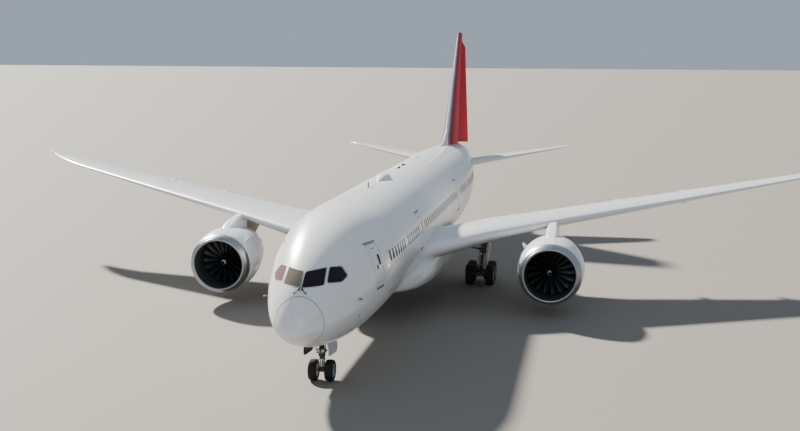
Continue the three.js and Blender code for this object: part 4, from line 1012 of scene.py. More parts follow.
wing_paint = coated("wing_paint", (0.74, 0.755, 0.77), dust_amount=0.14, marks=wing_marks)
# The leading edge's brighter white is painted sunlight, for the sun falling on it.
sunlit_edge_paint = coated("leading_edge_paint", (0.86, 0.87, 0.88), gloss=0.2)
surface_paint = coated("wing_surface_paint", (0.72, 0.735, 0.75), dust_amount=0.14)


def hinged_cut(host, a, b, radius_a, radius_b, before=0.0, up=None):
    """A surface cut from its host about the line from a to b, with a round nose, and the host left with a cove."""
    along = (b - a) / np.linalg.norm(b - a)
    reach = dict(aft=3.4, above=3, below=3, up=up)
    surface = carve(host.copy(), [together([box_along(a, b, **reach)])], "INTERSECT")
    nose = carve(host.copy(), [bar(a, b, radius_a, radius_b, 40)], "INTERSECT")
    surface = carve(surface, [nose], "UNION")
    clear_a, clear_b = a - along * MOVING_SLOT, b + along * MOVING_SLOT
    cove = bar(clear_a, clear_b, radius_a * COVE + MOVING_SLOT, radius_b * COVE + MOVING_SLOT, 40)
    host = carve(host, [box_along(clear_a, clear_b, before=before, **reach), cove])
    return surface, host


# Track fairings below each flap: a canoe whose front half stays on the wing, while its rear half goes with the flap.
CANOE_HALF_WIDTH = 0.3
CANOE_REACH = 2.3
CANOE_FULLNESS = [(0, 0.12), (0.12, 0.62), (0.35, 1.0), (0.6, 0.92), (0.82, 0.55), (1.0, 0.08)]


def canoe(x, front, depth):
    """A canoe below the wing at a span: half round sections whose width and depth follow the fullness."""
    t = np.linspace(0, 1, 64)
    full = table_at(CANOE_FULLNESS, t, 0)[:, :1]
    s = front - CANOE_REACH + t * 2 * CANOE_REACH
    top = wing_point(x, np.minimum(s, front + 1.2), -1)[:, 2:] + 0.03
    turn = np.linspace(0, -np.pi, 33)
    w = np.concatenate([np.cos(turn), [-1, -0.5, 0, 0.5, 1]])
    h = np.concatenate([np.sin(turn) * 0.999, [0.25] * 5])
    return closed(points_at(x + full * w * CANOE_HALF_WIDTH, s[:, None], top + full * h * depth))


wing_mesh = mesh_from("wing", wing_shape())
for name, x0, x1, s0, s1, tracks, drop in FLAPS:
    a, b = wing_point(x0, s0, 0), wing_point(x1, s1, 0)
    flap = carve(wing_mesh.copy(), [box_along(a, b, 4, 1.5, 1.5)], "INTERSECT")
    wing_mesh = carve(wing_mesh, [box_along(a, b, 4, 1.5, 1.5, -FLAP_SLOT, MOVING_SLOT, MOVING_SLOT)])
    body = f"flap_{name}_{{hand}}"
    add_pair(f"flap_{name}_skin", flap, surface_paint, body=body, slot="white_paint", replaces=[body])
    along, back, normal = directions(a, b)
    for x in tracks:
        front = s0 + (x - x0) / (x1 - x0) * (s1 - s0)
        pivot = a + (b - a) * (x - x0) / (x1 - x0) - normal * drop
        depth = wing_point(x, front, -1)[2] + 0.03 - pivot[2] + 0.05
        whole = canoe(x, front, depth)
        ahead = carve(whole, [box_along(a, b, -FLAP_SLOT, 1.5, 2.0, -4)], "INTERSECT")
        behind = carve(whole, [box_along(a, b, 4, 1.5, 1.5)], "INTERSECT")
        add_pair(f"track_{name}_{round(x)}_front", ahead, white_paint, slot="white_paint")
        add_pair(f"track_{name}_{round(x)}_rear", behind, white_paint, body=body, slot="white_paint")
        pin = bar(pivot - along * 0.1, pivot + along * 0.1, 0.05, around=24)
        add_pair(f"track_{name}_{round(x)}_pivot", pin, handle_metal, body=body)
    inner, outer, width = SPOILERS[name]
    ahead_s = [s0 + (x - x0) / (x1 - x0) * (s1 - s0) - width for x in (inner, outer)]
    sa, sb = wing_point(inner, ahead_s[0]), wing_point(outer, ahead_s[1])
    lean = math.cos(math.atan2(s1 - s0, x1 - x0))
    wing_now = carve(mesh_from("skin", wing_shape()), [wing_shape(-SPOILER_THICKNESS)])
    panel = carve(wing_now, [box_along(sa, sb, width * lean - 0.06, 0.4, 0.6)], "INTERSECT")
    seams = np.linspace(inner, outer, 2 if name == "inboard" else 5)[1:-1]
    if len(seams):
        panel = carve(panel, [box((x - 0.012, 28, 4), (x + 0.012, 37, 9)) for x in seams])
    pocket = carve(mesh_from("skin", wing_shape(0.02)), [wing_shape(-0.09)])
    room = box_along(sa, sb, width * lean + 0.02, 0.4, 0.6, -MOVING_SLOT, MOVING_SLOT, MOVING_SLOT)
    pocket = carve(pocket, [room], "INTERSECT")
    wing_mesh = carve(wing_mesh, [pocket])
    body = f"spoilers_{name}_{{hand}}"
    add_pair(f"spoilers_{name}_panel", panel, surface_paint, body=body, slot="grey_paint", replaces=[body])
for name, x0, x1, s0, s1 in NOSED:
    a, b = wing_point(x0, s0, 0), wing_point(x1, s1, 0)
    half = [(wing_point(x, s, 1)[2] - wing_point(x, s, -1)[2]) / 2 for x, s in ((x0, s0), (x1, s1))]
    surface, wing_mesh = hinged_cut(wing_mesh, a, b, *half)
    body = f"{name}_{{hand}}"
    add_pair(f"{name}_skin", surface, surface_paint, body=body, slot="white_paint", replaces=[body])


def weld(mesh):
    """Joins the doubled vertices that cuts leave, and fills the pinholes between them."""
    shell = bmesh.new()
    shell.from_mesh(mesh)
    bmesh.ops.remove_doubles(shell, verts=shell.verts[:], dist=1e-6)
    bmesh.ops.holes_fill(shell, edges=[edge for edge in shell.edges if edge.is_boundary], sides=0)
    shell.to_mesh(mesh)
    shell.free()


wing_mesh = carve(wing_mesh, [barrel(np.linspace(12.5, 41, 30), 96)])
weld(wing_mesh)
# Faces near the leading edge take the brighter finish: painted sunlight on it.
for domain in ("polygons", "vertices"):
    places = real_places(wing_mesh, domain)
    front, z, chord, ratio, incidence = table_at(WING, np.clip(places[:, 0], WING_ROOT, WING_TIP), RAKE_START).T
    if domain == "polygons":
        mark_faces(wing_mesh, places[:, 1] - front < 0.4)
shares = wing_mesh.attributes.new("chord_share", "FLOAT", "POINT")
shares.data.foreach_set("value", ((places[:, 1] - front) / chord).astype(np.float32))
add_pair("wing_skin", wing_mesh, [wing_paint, sunlit_edge_paint], slot="white_paint", replaces=["wing_{hand}"])

# Lenses lie in the wing's tips: red to port and green to starboard. Static wicks trail behind.
lens_colours = {"left": (0.6, 0.02, 0.02), "right": (0.02, 0.35, 0.1)}
x = np.linspace(28.9, 29.5, 16)
front = table_at(WING, x, RAKE_START)
turn = even_turns(20)
fullness = np.sqrt(np.sin(np.linspace(0.05, np.pi - 0.05, 16)))[:, None]
aft = front[:, :1] + 0.06 + 0.07 * np.cos(turn) * fullness
lens_shape = closed(points_at(x[:, None], aft, front[:, 1:2] + 0.035 * np.sin(turn)))
for side, hand in SIDES:
    lens = coated(f"tip_lens_{hand}", lens_colours[hand], gloss=0.08, dust_amount=0.02, coat=1.0)
    add_piece(f"tip_light_{hand}", for_side(lens_shape, side), lens)
wicks = []
for x in (22.0, 23.4, 24.8, 26.3, 27.6, 28.8):
    front, z, chord, ratio, incidence = table_at(WING, x, RAKE_START)
    tail = wing_point(x, front + chord * 0.999, 0)
    wicks.append(tube([tail - [0, 0.06, 0], tail + [0, 0.02, 0], tail + [0, 0.1, 0]], [0.012, 0.01, 0.005], 8))
add_pair("static_wicks", together(wicks), seam_dark_and_well_shade)

# Belly fairing.
# A light honeycomb tub screwed on under the wing roots over the air conditioning packs and gear bays, painted white.
# Its sections are rounded, straight sided above and nearly flat below, and swell and die away smoothly fore and aft.
FAIRING = [
    # station, half width, bottom, top
    (16.2, 1.5, 1.93, 2.4),
    (17.6, 2.55, 1.75, 3.0),
    (19.5, 3.05, 1.6, 3.35),
    (23.0, 3.32, 1.5, 3.5),
    (29.0, 3.34, 1.5, 3.4),
    (33.0, 3.15, 1.58, 3.15),
    (35.6, 2.6, 1.72, 2.8),
    (37.6, 1.6, 1.9, 2.3),
]
FAIRING_SHAPE = [
    (0.0, 0.0), (0.35, 0.005), (0.68, 0.06), (0.9, 0.2),
    (1.0, 0.5), (0.96, 0.92), (0.72, 1.0), (0.0, 1.0),
]
s = np.linspace(FAIRING[0][0], FAIRING[-1][0], 70)
half, bottom, top = np.moveaxis(table_at(FAIRING, s, 0), -1, 0)
shape_rows = np.array(FAIRING_SHAPE)
distance = np.concatenate([[0], np.cumsum(np.linalg.norm(np.diff(shape_rows, axis=0), axis=1))])
outline = table_at(np.column_stack([distance, shape_rows]), np.linspace(0, distance[-1], 50)[:-1], 0)
w, h = np.moveaxis(outline, -1, 0)
w, h = np.clip(np.concatenate([w, -w[:0:-1]]), -1, 1), np.clip(np.concatenate([h, h[:0:-1]]), 0, 1)
rows = points_at(half[:, None] * w, s[:, None], bottom[:, None] + (top - bottom)[:, None] * h)
add_piece("belly_fairing_skin", closed(rows), white_paint, slot="white_paint", replaces=["belly_fairing"])

# Engines.
# Each nacelle is a white painted carbon cowl with a bare polished lip, a scalloped trailing edge and an intake
# liner coloured near black, as painted shade deep inside the intake.
# Inside turn a wide bladed fan and its spinner, ahead of the hot core's cowl, nozzle and plug.
ENGINE_X, ENGINE_S, ENGINE_Z, ENGINE_TILT = 9.83, 20.1, 2.52, math.radians(3)
# Rows of distance aft of the lip, and radius.
NACELLE_OUTSIDE = [(0, 1.49), (0.06, 1.6), (0.4, 1.76), (1.2, 1.88), (2.4, 1.88), (3.7, 1.7), (5.1, 1.38)]
NACELLE_INSIDE = [(0.1, 1.43), (0.75, 1.4), (1.4, 1.445), (2.9, 1.46), (4.1, 1.4), (5.1, 1.35)]
NACELLE_WIDENING = 1.03
CHEVRONS, CHEVRON_LENGTH, CHEVRON_START, CHEVRON_RUN = 16, 0.34, 4.2, 0.9
LIP_END = 0.45


def round_engine(a, r, turn, wide=1.0):
    """Points at distances aft of the lip and radii about the engine's axis, which rises aft by the tilt."""
    a, r, turn = np.broadcast_arrays(a, r, turn)
    up = r * np.sin(turn)
    x = ENGINE_X + r * np.cos(turn) * wide
    s = ENGINE_S + a * math.cos(ENGINE_TILT) - up * math.sin(ENGINE_TILT)
    return points_at(x, s, ENGINE_Z + up * math.cos(ENGINE_TILT) + a * math.sin(ENGINE_TILT))


lip = np.linspace(-np.pi / 2, np.pi / 2, 16)[1:-1]
lip_rows = [(0.1 - 0.1 * math.cos(t), 1.52 + 0.09 * math.sin(t)) for t in lip]
outer_at, inner_at = np.linspace(0.14, 5.1, 60), np.linspace(5.1, 0.12, 50)
outer_rows = list(zip(outer_at, table_at(NACELLE_OUTSIDE, outer_at, 0)[:, 0]))
inner_rows = list(zip(inner_at, table_at(NACELLE_INSIDE, inner_at, 0)[:, 0]))
turn = even_turns(192)
scallop = CHEVRON_LENGTH * (1 - np.cos(CHEVRONS * turn)) / 2
shells = []
for rows, wide in ((outer_rows, NACELLE_WIDENING), (inner_rows, 1.0), (lip_rows, 1.015)):
    for a, r in rows:
        shells.append(round_engine(a - scallop * np.clip((a - CHEVRON_START) / CHEVRON_RUN, 0, 1), r, turn, wide))
nacelle = closed(np.array(shells), joined=True)
lip_metal = coated("lip_metal", (0.42, 0.43, 0.45), gloss=0.33, metal=1.0, coat=0.0)
# The intake liner's near black is painted shade, for the dark inside the intake.
intake_shade_dark = coated("intake_liner_painted_shade", (0.035, 0.048, 0.052), gloss=0.45, coat=0.0)
nacelle_mesh = mesh_from("nacelle", nacelle)
places = real_places(nacelle_mesh, "polygons")
aft, up = places[:, 1] - ENGINE_S, places[:, 2] - ENGINE_Z
along = aft * math.cos(ENGINE_TILT) + up * math.sin(ENGINE_TILT)
rise = up * math.cos(ENGINE_TILT) - aft * math.sin(ENGINE_TILT)
liner = table_at(NACELLE_INSIDE, np.clip(along, 0.1, 5.1), 0)[:, 0] + 0.03
inside = np.hypot((places[:, 0] - ENGINE_X) / 1.015, rise) < liner
mark_faces(nacelle_mesh, np.where(inside, 2, np.where(along < LIP_END, 1, 0)))
finishes = [white_paint, lip_metal, intake_shade_dark]
add_pair("nacelle_cowl", nacelle_mesh, finishes, slot="white_paint", replaces=["nacelle_{hand}"])

# Fans and spinners.
# Eighteen wide, curved blades of dark carbon stand round a black spinner, on which a white comma warns ground crew
# that it turns. The fan turns on the core's shaft.
FAN_BLADES = 18
FAN_MIDDLE = 1.72
FAN_TIP = 1.415
# Rows of radius, chord, thickness, angle from the axis in degrees, and shift along the axis.
BLADE = [
    (0.3, 0.36, 0.06, 22, 0.0),
    (0.6, 0.42, 0.05, 33, 0.03),
    (0.85, 0.45, 0.04, 42, 0.03),
    (1.15, 0.46, 0.03, 52, 0.0),
    (FAN_TIP, 0.42, 0.02, 60, -0.07),
]
SPINNER = [(0.82, 0.0), (0.86, 0.06), (0.92, 0.1), (1.06, 0.19), (1.22, 0.27), (1.52, 0.38), (2.02, 0.4)]


def spun(profile, around=96):
    """A turned shape about the engine's axis, from rows of distance aft of the lip and radius."""
    turn = even_turns(around)
    return closed([round_engine(a, r, turn) for a, r in profile])


def fan_blade(turn):
    """One blade: sections of half thickness (1 - (2c)^2) across the chord c, set by the table's angle and shift."""
    r = np.linspace(0.3, FAN_TIP, 26)[:, None]
    chord, thick, angle, shift = (v[..., 0][..., None] for v in np.split(table_at(BLADE, r[:, 0], 0), 4, axis=-1))
    angle = np.radians(angle)
    c = np.concatenate([np.linspace(-0.5, 0.5, 14), np.linspace(0.5, -0.5, 14)[1:-1]])
    face = np.concatenate([np.ones(14), -np.ones(12)])
    arch = 0.09 * (1 - (2 * c) ** 2)
    t = face * thick / 2 * (1 - (2 * c) ** 2) / chord + arch
    along = FAN_MIDDLE + shift + chord * (c * np.cos(angle) - t * np.sin(angle))
    sideways = chord * (c * np.sin(angle) + t * np.cos(angle))
    out = np.sqrt(np.maximum(r**2 - sideways**2, 0))
    first, second = out * np.cos(turn) - sideways * np.sin(turn), out * np.sin(turn) + sideways * np.cos(turn)
    return closed(round_engine(along, np.hypot(first, second), np.arctan2(second, first)))


blade_dark = coated("fan_blade", (0.014, 0.018, 0.021), gloss=0.35, dust_amount=0.2, coat=0.1)
blades = together([fan_blade(k * 2 * math.pi / FAN_BLADES) for k in range(FAN_BLADES)])
at = np.linspace(2.0, 0.822, 40)
spinner = spun([(2.02, 0.0), (2.02, 0.385), *zip(at, table_at(SPINNER, at, 0.9)[:, 0])])
spinner_black = coated("spinner_black", (0.012, 0.013, 0.015), gloss=0.25)
add_pair("fan_blades", blades, blade_dark, body="fan_{hand}", slot="fan_blades", replaces=["fan_{hand}"])
add_pair("spinner", spinner, spinner_black, body="fan_{hand}", slot="fan_blades")
t = np.linspace(0, 1, 60)[:, None]
r = 0.05 + 0.17 * t
wide = 0.028 * np.sin(np.pi * np.clip(t, 0.02, 1)) ** 0.5 + 0.004
band = np.array([[-1, -1, 1, 1]])
lift = np.array([[-0.012, 0.006, 0.006, -0.012]])
rows = np.array(SPINNER)
along = np.interp(r + band * wide, rows[:, 1], rows[:, 0]) - lift
comma = closed(round_engine(along, r + band * wide, 0.6 + t * 4.9 + 0 * band))
add_pair("spinner_comma", comma, coated("comma_white", (0.75, 0.75, 0.75), coat=0.2), body="fan_{hand}")

# Engine cores.
# Behind the fan a round core cowl carries the hot gas to a ribbed nozzle with a plug in it, all of heat stained
# nickel alloy. A ring of outlet vanes stands between it and the fan case.
heat_metal, tree, shader = new_material("heat_metal")
shader.inputs["Metallic"].default_value = 1.0
bands = object_noise(tree, 2.2, 5)
tree.links.new(colour_mix(tree, bands, (0.34, 0.27, 0.2), (0.2, 0.19, 0.2)), shader.inputs["Base Color"])
tree.links.new(math_node(tree, "MULTIPLY_ADD", bands, 0.25, 0.28), shader.inputs["Roughness"])
CORE_COWL = [(2.04, 0.0), (2.04, 0.42), (2.6, 0.62), (3.1, 0.84), (3.6, 0.98), (4.2, 1.02), (4.7, 0.98), (5.4, 0.84)]
CORE_COWL += [(6.1, 0.63), (6.1, 0.6), (5.7, 0.6), (5.7, 0.0)]
at = np.linspace(2.05, 6.08, 60)
cowl = [*CORE_COWL[:2], *zip(at, table_at(CORE_COWL[1:9], at, 2.2)[:, 0]), *CORE_COWL[9:]]
PLUG = [(5.6, 0.0), (5.6, 0.42), (5.95, 0.45), (6.3, 0.38), (6.7, 0.22), (7.0, 0.09), (7.15, 0.0)]
SHAFT = [(2.05, 0.0), (2.05, 0.1), (1.76, 0.1), (1.76, 0.0)]
core = together([spun(cowl), spun(PLUG), spun(SHAFT, 32)])
add_pair("core_cowl", core, heat_metal, slot="hot_metal", replaces=["engine_core_{hand}"])
# Each vane is a thin lozenge, set askew so that the ring of them hides the duct behind. They are coloured near
# black, as painted shade for the dark duct.
VANES = 60
hub = round_engine(0, 0, 0)
ahead = round_engine(1.0, 0, 0) - hub
vanes = []
for k in range(VANES):
    turn = k * 2 * math.pi / VANES
    aside = round_engine(0, 1, turn + math.pi / 2) - hub
    lozenge = [ahead * c + aside * (w + 0.9 * c) for c, w in ((-0.3, 0), (0, 0.012), (0.3, 0), (0, -0.012))]
    ends = round_engine(2.5, 0.5, turn), round_engine(2.6, 1.47, turn)
    vanes.append(closed([[end + v for v in lozenge] for end in ends]))
vane_shade_dark = coated("vane_shade_dark", (0.03, 0.034, 0.038), gloss=0.45, coat=0.0)
add_pair("outlet_vanes", together(vanes), vane_shade_dark)
ribs = []
for turn in even_turns(24):
    path = [round_engine(a, r, turn) for a, r in ((5.1, 0.9), (5.6, 0.78), (6.05, 0.645))]
    ribs.append(tube(path, [0.02, 0.03, 0.012], 6))
add_pair("nozzle_ribs", together(ribs), heat_metal)

# Tail cone exhaust.
# The small turbine in the tail cone blows out through a heat stained pipe, with a flat ring of metal round its end.
turn = even_turns(96)


def exhaust_ring(s, radius):
    """A round ring about the exhaust's axis."""
    return points_at(radius * np.cos(turn), s, EXHAUST_Z + radius * np.sin(turn))


front, back = LENGTH - 0.02, LENGTH - EXHAUST_DEPTH + 0.02
rows = [skin(front, turn), skin(LENGTH, turn), exhaust_ring(LENGTH, EXHAUST_RADIUS - 0.03)]
rows += [exhaust_ring(back, EXHAUST_RADIUS - 0.03), exhaust_ring(back, EXHAUST_RADIUS - 0.006)]
rows.append(exhaust_ring(front, EXHAUST_RADIUS - 0.006))
add_piece("tail_exhaust_pipe", closed(rows, joined=True), heat_metal, slot="hot_metal")

# Nacelle fittings.
# A thin strake on the inboard shoulder of each nacelle keeps the air on the wing at low speed. Dark seams part the
# intake, the fan cowls and the reverser sleeve, and run along its keel and beside its crown.
turn = math.pi - 0.75
rows = []
for t in np.linspace(0, 1, 24):
    a = 0.95 + 1.25 * t
    r = table_at(NACELLE_OUTSIDE, a, 0.06)[0]
    height = 0.3 * math.sin(math.pi * min(t * 0.62 + 0.02, 1)) + 0.015
    ring = [(r - 0.05, -0.012), (r + height, -0.004), (r + height, 0.004), (r - 0.05, 0.012)]
    rows.append([round_engine(a, q, turn + w, NACELLE_WIDENING) for q, w in ring])
add_pair("nacelle_strake", closed(rows), white_paint)
turn = even_turns(128)
bands = []
for a, width in ((0.46, 0.012), (2.35, 0.014)):
    rows = []
    for da, dr in ((-width, -0.01), (-width, 0.0025), (width, 0.0025), (width, -0.01)):
        r = table_at(NACELLE_OUTSIDE, a + da, 0.0)[0]
        rows.append(round_engine(a + da, r + dr, turn, NACELLE_WIDENING))
    bands.append(closed(rows, joined=True))
for side_turn in (-math.pi / 2, math.pi / 2 + 0.16, math.pi / 2 - 0.16):
    rows = []
    for a in np.linspace(0.5, 4.7, 50):
        r = table_at(NACELLE_OUTSIDE, a, 0.0)[0]
        ring = [(r - 0.01, -0.006), (r + 0.0025, -0.006), (r + 0.0025, 0.006), (r - 0.01, 0.006)]
        rows.append([round_engine(a, q, side_turn + w, NACELLE_WIDENING) for q, w in ring])
    bands.append(closed(rows))
add_pair("nacelle_seams", together(bands), coated("cowl_seam", (0.2, 0.205, 0.21), gloss=0.5, coat=0.0))

# Pylons.
# A slim strut carries each engine from the wing's front spar, with a fairing that starts on the nacelle's top and
# sweeps under the leading edge. It is painted white, with a bare heat shield over the exhaust at its foot.
PYLON = [
    # station, half width, bottom, top
    (21.35, 0.08, 4.2, 4.34),
    (22.0, 0.3, 4.2, 4.58),
    (23.0, 0.36, 4.15, 4.84),
    (24.2, 0.34, 3.9, 5.0),
    (25.4, 0.32, 3.5, 5.05),
    (26.6, 0.3, 3.3, 4.9),
    (28.2, 0.22, 3.72, 4.7),
    (29.9, 0.06, 4.15, 4.6),
]
SHIELD_START = 25.1
s = np.linspace(PYLON[0][0], PYLON[-1][0], 60)
half, bottom, top = np.moveaxis(table_at(PYLON, s, 0), -1, 0)
ring = round_corners([(-1, 0), (1, 0), (1, 0.86), (0.55, 1), (-0.55, 1), (-1, 0.86)], 0.12, per_edge=4)
rise = bottom[:, None] + (top - bottom)[:, None] * ring[:, 1]
rows = points_at(ENGINE_X + half[:, None] * ring[:, 0], s[:, None], rise)
pylon = carve(closed(rows), [wing_shape()])
places = real_places(pylon, "polygons")
mark_faces(pylon, places[:, 1] > SHIELD_START)
shield = coated("heat_shield", (0.3, 0.255, 0.2), gloss=0.4, dust_amount=0.4, metal=0.5, coat=0.0)
add_pair("pylon_skin", pylon, [white_paint, shield], slot="white_paint", replaces=["pylon_{hand}"])

# Fin and rudder.
# A tall carbon fin with a narrow bright leading edge, then a grey blue band and crimson over the rest. The rudder
# hangs behind it and stands over to port, as on a parked aircraft without hydraulic pressure.
FIN = [
    # height, leading edge's station, chord, thickness ratio
    (6.9, 48.6, 11.2, 0.1),
    (8.2, 50.35, 9.65, 0.1),
    (16.55, 57.95, 3.5, 0.09),
    (17.02, 58.75, 2.75, 0.05),
]
# The fillet ahead of the fin: station, half width, top.
DORSAL = [(46.6, 0.05, 7.82), (48.6, 0.1, 8.02), (51.2, 0.16, 8.95), (52.4, 0.05, 9.0)]
RUDDER_Z = (7.55, 16.3)
RUDDER_S = (56.15, 60.15)
RUDDER_REST = math.radians(-14)
RUDDER_FOOT_GAP = 0.12
# The grey blue band's width at a height, and how much narrower it is for each metre above; white is a share of it.
BAND_WIDTH, BAND_FROM, BAND_TAPER, WHITE_SHARE = 0.45, 8.0, -0.035, 0.24


def fin_marks(tree, colour):
    """White along the leading edge, then a grey blue band that narrows upwards, then crimson."""
    s, z = axis_value(tree, "Y"), axis_value(tree, "Z")
    (low_z, low_s), (high_z, high_s) = (row[:2] for row in FIN[1:3])
    slope = (high_s - low_s) / (high_z - low_z)
    edge = math_node(tree, "MULTIPLY_ADD", math_node(tree, "SUBTRACT", z, low_z), slope, low_s)
    behind = math_node(tree, "SUBTRACT", s, edge)
    width = math_node(tree, "MULTIPLY_ADD", math_node(tree, "SUBTRACT", z, BAND_FROM), BAND_TAPER, BAND_WIDTH)
    past = math_node(tree, "DIVIDE", behind, width)
    band = colour_mix(tree, math_node(tree, "GREATER_THAN", past, 1.0), (0.2, 0.25, 0.33), colour)
    return colour_mix(tree, math_node(tree, "LESS_THAN", past, WHITE_SHARE), band, (0.82, 0.83, 0.85))


fin_paint = coated("fin_paint", (0.42, 0.0, 0.016), gloss=0.4, dust_amount=0.03, coat=0.0, marks=fin_marks)
rudder_paint = coated("rudder_paint", (0.42, 0.0, 0.016), gloss=0.4, dust_amount=0.03, coat=0.0)
for paint in (fin_paint, rudder_paint):
    paint.node_tree.nodes["Principled BSDF"].inputs["Specular IOR Level"].default_value = 0.03
z = np.linspace(FIN[0][0], FIN[-1][0], 60)[:, None]
front, chord, ratio = np.moveaxis(table_at(FIN, z, FIN[2][0]), -1, 0)
u, side = foil_steps(64)
back, rise = foil_point(chord, ratio, 0, u, side)
fin = closed(points_at(rise, front + back, z))
a, b = (np.array([0, s, z]) for s, z in zip(RUDDER_S, RUDDER_Z))
half = []
for s, z in zip(RUDDER_S, RUDDER_Z):
    front, chord, ratio = table_at(FIN, z)
    half.append(foil_point(chord, ratio, 0, (s - front) / chord, 1)[1])
foot_points, foot_quads, foot_triangles = barrel(np.linspace(48, LENGTH - 0.05, 60), 96)
rudder = carve(fin, [(foot_points + [0, 0, RUDDER_FOOT_GAP], foot_quads, foot_triangles)])
rudder = hinged_cut(rudder, a, b, *half, before=3, up=(1, 0, 0))[0]
fin_mesh = hinged_cut(mesh_from("fin", fin), a, b, *half, before=3, up=(1, 0, 0))[1]
turning = Matrix.Rotation(RUDDER_REST, 4, Vector(b - a).normalized())
to_hinge = Matrix.Translation(Vector(a * MODEL) - Vector((0, LENGTH / 2 * MODEL, 0)))
rudder.transform(to_hinge @ turning @ to_hinge.inverted())
s = np.linspace(DORSAL[0][0], DORSAL[-1][0], 30)
half, top = np.moveaxis(table_at(DORSAL, s, 0), -1, 0)
ring = np.array([(1, 0), (0.95, 0.5), (0.75, 0.85), (0.4, 0.97), (0, 1)])
w, h = np.vstack([ring, ring[-2::-1] * [-1, 1]]).T
rise = FIN[0][0] + (top - FIN[0][0])[:, None] * h
dorsal = closed(points_at(half[:, None] * w, s[:, None], rise))
fin_mesh = carve(fin_mesh, [dorsal], "UNION")
tail_barrel = barrel(np.linspace(40, LENGTH - 0.05, 60), 96)
fin_mesh = carve(fin_mesh, [tail_barrel])
weld(fin_mesh)
add_piece("fin_skin", fin_mesh, fin_paint, slot="red_paint", replaces=["fin"])
add_piece("rudder_skin", rudder, rudder_paint, body="rudder", slot="red_paint", replaces=["rudder"])

# Stabilizers and elevators.
# The tailplane's halves pass into the body through sliding seals, and are grey white like the wings, with the
# leading edge coloured brighter as painted sunlight. Each elevator is hinged at its nose.
STABILIZER = [
    # span, leading edge's station and height, chord, thickness ratio
    (0.5, 53.1, 5.72, 7.0, 0.1),
    (9.2, 59.15, 6.98, 2.25, 0.09),
    (9.9, 60.0, 7.08, 1.35, 0.06),
]
ELEVATOR_X = (1.75, 9.1)
ELEVATOR_S = (58.55, 60.62)
x = np.linspace(STABILIZER[0][0], STABILIZER[-1][0], 60)[:, None]
front, z, chord, ratio = np.moveaxis(table_at(STABILIZER, x, STABILIZER[1][0]), -1, 0)
u, side = foil_steps(64)
back, rise = foil_point(chord, ratio, 0, u, side)
stabilizer = closed(points_at(x, front + back, z + rise))
ends, half = [], []
for x, s in zip(ELEVATOR_X, ELEVATOR_S):
    front, z, chord, ratio = table_at(STABILIZER, x)
    ends.append(np.array([x, s, z]))
    half.append(foil_point(chord, ratio, 0, (s - front) / chord, 1)[1])
elevator, tail_mesh = hinged_cut(mesh_from("stabilizer", stabilizer), *ends, *half)
tail_mesh = carve(tail_mesh, [tail_barrel])
places = real_places(tail_mesh, "polygons")
front = table_at(STABILIZER, np.clip(places[:, 0], STABILIZER[0][0], STABILIZER[-1][0]))[:, 0]
# Faces near the leading edge take the brighter finish: painted sunlight on it.
mark_faces(tail_mesh, places[:, 1] - front < 0.25)
finishes = [surface_paint, sunlit_edge_paint]
weld(tail_mesh)
add_pair("stabilizer_skin", tail_mesh, finishes, slot="white_paint", replaces=["stabilizer_{hand}"])
body = "elevator_{hand}"
add_pair("elevator_skin", elevator, surface_paint, body=body, slot="white_paint", replaces=[body])

# Wheels.
# Each wheel is a forged aluminium rim in two halves, painted pale grey, with a ring of tie bolts and a hub cap. The
# tyre has round shoulders and four grooves round its tread. Two wheels on an axle turn as one body.
rubber = coated("tyre_rubber", (0.014, 0.014, 0.015), 0.7, 0.35, 2.5, coat=0.0, tint=(0.05, 0.046, 0.042))
rim_grey = coated("rim_grey", (0.3, 0.305, 0.31), gloss=0.4, dust_amount=0.3, coat=0.1)
# The gear's paint is coloured dark grey: painted shade, for the shadow under the belly.
gear_paint = coated("gear_paint", (0.24, 0.235, 0.23), gloss=0.35, dust_amount=0.35, dust_size=2.0, coat=0.1)
gear_metal = coated("gear_metal", (0.1, 0.095, 0.09), 0.4, 0.3, 2.0, metal=0.8, coat=0.0)
chrome = coated("piston_chrome", (0.7, 0.7, 0.7), gloss=0.1, dust_amount=0.1, metal=1.0, coat=0.0)
brake_dark = coated("brake_carbon", (0.04, 0.04, 0.042), gloss=0.5, dust_amount=0.2, coat=0.0)
hose_black = coated("hose_black", (0.02, 0.02, 0.022), gloss=0.5, coat=0.0)


def wheel_ring(profile, centre, around=72, joined=True):
    """A shape turned about a wheel's axle, from rows of distance across and radius."""
    turn = even_turns(around)
    across, r = np.asarray(profile, float).T[..., None]
    return closed(points_at(centre[0] + across, centre[1] + r * np.cos(turn), centre[2] + r * np.sin(turn)), joined)


def tyre_profile(width, radius, rim):
    """A closed loop round the tyre: a superellipse of power 2.8, with grooves let into its tread."""
    middle, high = (radius + rim) / 2, (radius - rim) / 2
    groove = np.array([-0.28, -0.1, 0.1, 0.28]) * width
    steps = np.array([-0.02, -0.013, 0.013, 0.02]) * width / 0.4
    y = np.unique(np.concatenate([width / 2 * np.sin(np.linspace(-1.5, 1.5, 40)), (groove[:, None] + steps).ravel()]))
    bulge = (1 - np.abs(2 * y / width) ** 2.8) ** (1 / 2.8)
    sunk = (np.abs(y[:, None] - groove).min(1) < 0.016 * width / 0.4) * 0.014
    outer = np.stack([y, middle + high * bulge - sunk], -1)
    inner_y = np.linspace(0.96, -0.96, 24) * width / 2
    inner = np.stack([inner_y, middle - high * (1 - np.abs(2 * inner_y / width) ** 2.8) ** (1 / 2.8)], -1)
    return np.vstack([outer, inner])


